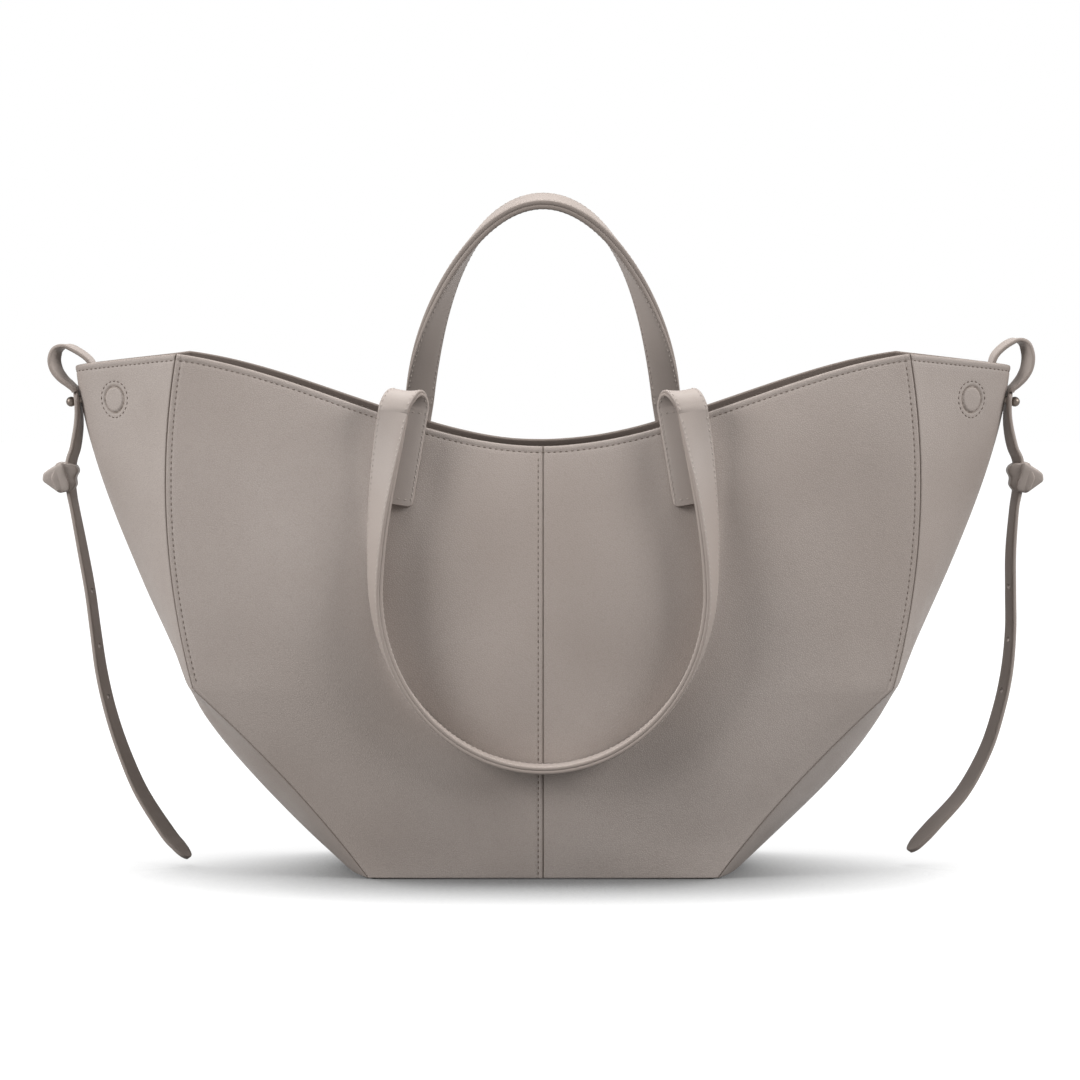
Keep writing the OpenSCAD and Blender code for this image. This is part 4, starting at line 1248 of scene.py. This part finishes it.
TAIL = {-1: [[3.6, -0.8, -52, 16], [1.9, -1, -61, 14], [-2.4, -1.5, -84, 18], [-6.3, -2, -106, 19],
             [-9.2, -2.5, -128, 20], [-12.4, -3, -151, 24], [-17.4, -4, -173, 26], [-24.6, -5, -195, 30],
             [-34.6, -6, -218, 36], [-48.6, -7, -240, 42], [-55.3, -7.4, -248, 45, 0.9],
             [-59, -7.7, -252, 47, 0.7], [-61.1, -7.9, -254, 48, 0.36], [-61.5, -7.9, -254.4, 48, 0.1]],
        1: [[5, -0.8, -52, 16], [3.6, -1, -61, 14], [1.9, -1.5, -84, 18], [1.9, -2, -106, 19],
            [2, -2.5, -128, 20], [0, -3, -151, 24], [-4.7, -4, -173, 26], [-12, -5, -195, 30],
            [-24.6, -6, -218, 36], [-41.4, -7, -237, 42], [-48.4, -7.4, -244.5, 45, 0.9],
            [-52.1, -7.7, -248.3, 47, 0.7], [-54.3, -7.9, -250.3, 48, 0.36], [-54.7, -7.9, -250.7, 48, 0.1]]}
HOLES = {-1: [-106, -136, -165], 1: [-103, -133, -162]}
HOLE_R, PUNCH_LENGTH, LOOP_THIN = 1.5, 12, 0.94
BUTTON_R = 5.5


def tie_path(rows, hand, step=1.2):
    """Path, direction across and share of the width of a tie strap, from its rows."""
    curve = smooth_rows([list(row) + [1.0] * (5 - len(row)) for row in rows], step)
    turn = np.radians(curve[:, 3])
    mirror = np.array([hand, 1.0, 1.0])
    across = np.stack([-np.sin(turn), np.cos(turn), 0 * turn], -1) * mirror
    return (seat_p + curve[:, :3]) * mirror, across, np.clip(curve[:, 4], 0.08, 1)


def path_length(path):
    return float(np.linalg.norm(np.diff(path, axis=0), axis=1).sum())


# the button end: a half disc around the stud, flat on the wing
button = [[*(fold_up * t), 6, max(0.12, math.sqrt(1 - (t / BUTTON_R) ** 2))] for t in (5.45, 5.1, 4.4, 3.2, 1.6, 0.0)]
print("stud at", stud_p.round(3), "seat at", seat_p.round(3))

# %% [markdown]
# The hanging strap is one sweep from the button's end down to the tapered tip. Three small cylinders,
# joined into one cutter, punch its holes with a Boolean modifier. The loop over the rim is a sweep of
# its own, because it goes back into the bag.

# %% Tie straps and loops
ties = {}
for hand, hand_name in HANDS:
    path, across, share = tie_path(button + STRAP[hand] + TAIL[hand], hand)
    tie = sweep(f"{hand_name}_tie_cord", path, across, TIE_RING, share)
    deselect()
    punches = []
    for height in HOLES[hand]:
        at = int(np.argmin(np.abs(path[:, 2] - seat_p[2] - height)))
        way = Vector(strap_frames(path, across)[3][at]).to_track_quat("Z", "Y").to_euler()
        bpy.ops.mesh.primitive_cylinder_add(vertices=24, radius=HOLE_R * MM, depth=PUNCH_LENGTH * MM,
                                            location=path[at] * MM, rotation=way)
        punches.append(bpy.context.object)
    cutter = join(punches)
    punch = tie.modifiers.new("punch", "BOOLEAN")
    punch.operation, punch.object, punch.solver = "DIFFERENCE", cutter, "EXACT"
    activate(tie)
    bpy.ops.object.modifier_apply(modifier="punch")
    bpy.data.objects.remove(cutter)
    finish_piece(tie, strap_leather, f"{hand_name}_tie",
                 [f"{hand_name}_tie_strap", f"{hand_name}_tie_tail"])
    loop_path, loop_across, loop_share = tie_path(LOOP[hand], hand)
    loop = sweep(f"{hand_name}_tie_loop_strap", loop_path, loop_across, TIE_RING * [1, LOOP_THIN, 1], loop_share)
    finish_piece(loop, strap_leather, "bag", [f"{hand_name}_tie_loop"])
    ties[hand] = (tie, path, loop, loop_path)
    print(hand_name, "tie", round(path_length(path), 1), "mm, loop", round(path_length(loop_path), 1), "mm")

# %% [markdown]
# The knot is the strap folded over itself: a broad front fold that points away from the bag, a wrap
# beside it where the strap goes in, and a fold behind. Each fold is a pillow: rings with the outline of
# the fold, set in a little at its front and back, so that its edges are round.

# %% Knots
KNOT_X, KNOT_Z = 9.5, -42.6
FRONT_FOLD = [(9.4, 2.4), (10, -1.9), (0.4, -8.8), (-5.6, -7.4), (-5.2, -3), (-3.5, 1.6), (-2.4, 6), (-1.2, 8.8)]
WRAP = [(2, 8.4), (-6.4, 7.9), (-9.2, 6), (-10.1, 3.1), (-8.1, -0.3), (-8.8, -4.4), (-6.4, -7.9), (2, -8),
        (5, 0)]
BACK_FOLD = [(8.6, 3.2), (9, -1), (2, -8), (-6, -6.6), (-7, 3), (-3, 7.4), (1, 8)]
# name, outline, where its front is, how its front leans across and up, where its back is
FOLDS = (("front_fold", FRONT_FOLD, -8.5, 0.12, -0.05, 0.5), ("wrap", WRAP, -8.2, -0.22, 0.05, 6.9),
         ("back_fold", BACK_FOLD, -2.6, 0, 0, 7.6))
# the rings of a pillow: how far each is set in, 1 for the back or 0 for the front, and its step from there
FOLD_RINGS = [(1.5, 1, 0), (0.5, 1, -0.3), (0, 1, -1.1), (0, 0, 1.4), (0.12, 0, 0.75), (0.5, 0, 0.25),
              (1.2, 0, 0.02), (3.2, 0, -0.15)]


def rounded(outline, reach=1.5):
    """The outline with every corner cut by a short curve."""
    outline = np.array(outline, float)
    points = []
    for before, here, after in zip(np.roll(outline, 1, 0), outline, np.roll(outline, -1, 0)):
        a, b = (here + (other - here) * min(0.45, reach / np.linalg.norm(other - here)) for other in (before, after))
        points += [lerp(lerp(a, here, t), lerp(here, b, t), t) for t in (0, 0.25, 0.5, 0.75, 1)]
    return np.array(points)


def fold_block(name, outline, front_at, lean_x, lean_z, back):
    """A pillow with the outline of a fold. Its front slopes by lean_x and lean_z, and its back is flat."""
    points = rounded(outline)
    middle = points.mean(0)
    away = np.linalg.norm(points - middle, axis=1, keepdims=True)
    rings = []
    for inset, at_back, step in FOLD_RINGS:
        ring = middle + (points - middle) * (1 - inset / away)
        front_y = front_at + lean_x * ring[:, 0] + lean_z * ring[:, 1]
        rings.append(np.stack([ring[:, 0] + KNOT_X, lerp(front_y, back, at_back) + step, ring[:, 1] + KNOT_Z], -1))
    return mesh_piece(name, np.concatenate(rings), ring_faces(len(rings), len(points)), scale=1)


for hand, hand_name in HANDS:
    knot = join([fold_block(*fold) for fold in FOLDS])
    knot.name = knot.data.name = f"{hand_name}_tie_knot_folds"
    knot.data.transform(Matrix.Scale(MM, 4) @ Matrix.Diagonal((hand, 1, 1, 1)) @ Matrix.Translation(Vector(seat_p)))
    normals_out(knot)
    paint(knot.data, "edge", np.zeros(len(knot.data.vertices)))
    finish_piece(knot, strap_leather, f"{hand_name}_tie", [f"{hand_name}_tie_knot"], angle=40)
    tie, path, loop, loop_path = ties[hand]

# %% [markdown]
# ## Floor
# The photograph is a studio picture on white. A wide pale floor takes the bag's soft shadow. Paper that
# is lit only by lamps would be grey in the picture, so where the camera, a reflection or glass sees it,
# it also glows. The glow fades where the bag hides the sky behind it, which an Ambient Occlusion node
# with a tilted normal measures, and this gives the narrow dark line under the bag.


# %% Floor
PAPER, PAPER_SEEN = (0.12, 0.12, 0.12, 1), (0.15, 0.15, 0.15, 1)
SKY_Y, SKY_Z, SKY_REACH = 0.77, 0.64, 0.12
NEAR_GLOW, NEAR, FAR = 0.8, 0.12, 0.5


def seen_directly(tree):
    """1 where the camera, a reflection or something seen through glass looks."""
    rays = tree.nodes.new("ShaderNodeLightPath").outputs
    seen = calculate(tree, "MAXIMUM", rays["Is Camera Ray"], rays["Is Glossy Ray"])
    return calculate(tree, "MAXIMUM", seen, rays["Is Transmission Ray"])


deselect()
bpy.ops.mesh.primitive_circle_add(vertices=96, radius=6, fill_type="NGON", location=(0, 0, -0.0003))
floor = bpy.context.object
floor.name = "studio_floor"
paper, tree, shader, place = new_material("floor_paper", 0.9, 0.1)
seen = seen_directly(tree)
tree.links.new(mix_colour(tree, seen, PAPER, PAPER_SEEN), shader.inputs["Base Color"])
sky = add_node(tree, "CombineXYZ", {"Y": SKY_Y, "Z": SKY_Z}, "Vector")
free = add_node(tree, "AmbientOcclusion", {"Distance": SKY_REACH, "Normal": sky}, "AO")
free = remap(tree, free, 0.25, 0.83, 0.0, 1.0)
away = add_node(tree, "VectorMath", {0: place}, "Value", operation="LENGTH")
away = remap(tree, away, NEAR, FAR, NEAR_GLOW, 1.0)
strength = calculate(tree, "MULTIPLY", seen, calculate(tree, "MULTIPLY", away, free))
glow = add_node(tree, "Emission", {"Strength": strength}, "Emission")
both = add_node(tree, "AddShader", {0: shader.outputs["BSDF"], 1: glow}, "Shader")
tree.links.new(both, tree.nodes["Material Output"].inputs["Surface"])
floor.data.materials.append(paper)
print("floor", round(floor.dimensions.x, 2), "m across")

# %% [markdown]
# ## Light
# The world is white only where it is seen, and lights the bag with a weak, even light. Big round lamps
# stand to the left and right and overhead. A second, low lamp on the left reaches the leather under the
# wing's crease, and makes the left of the bag a little lighter than the right, as in the photograph.

# %% World and lamps
AMBIENT = 0.22
world = bpy.data.worlds.new("studio")
bpy.context.scene.world = world
world.use_nodes = True
tree = world.node_tree
background = tree.nodes["Background"]
background.inputs["Color"].default_value = (1, 1, 1, 1)
tree.links.new(remap(tree, seen_directly(tree), 0, 1, AMBIENT, 1.0), background.inputs["Strength"])

# name, place, the height it points at, size, power
LAMPS = (("key_left", (-2.7, -1.35, 1.65), 0.15, 1.6, 78), ("low_left", (-2.6, -1.1, 0.35), 0.2, 1.4, 24),
         ("fill_right", (2.6, -1.1, 1.5), 0.15, 1.8, 84), ("top", (0.0, 0.15, 2.4), 0.1, 1.8, 50))
for name, place, target, size, power in LAMPS:
    lamp = bpy.data.objects.new(name, bpy.data.lights.new(name, "AREA"))
    lamp.data.shape, lamp.data.size, lamp.data.energy = "DISK", size, power
    lamp.location = place
    lamp.rotation_euler = (Vector((0, 0, target)) - Vector(place)).to_track_quat("-Z", "Y").to_euler()
    bpy.context.scene.collection.objects.link(lamp)
    print(name, power, "W")
bpy.context.scene.view_settings.view_transform = "Standard"
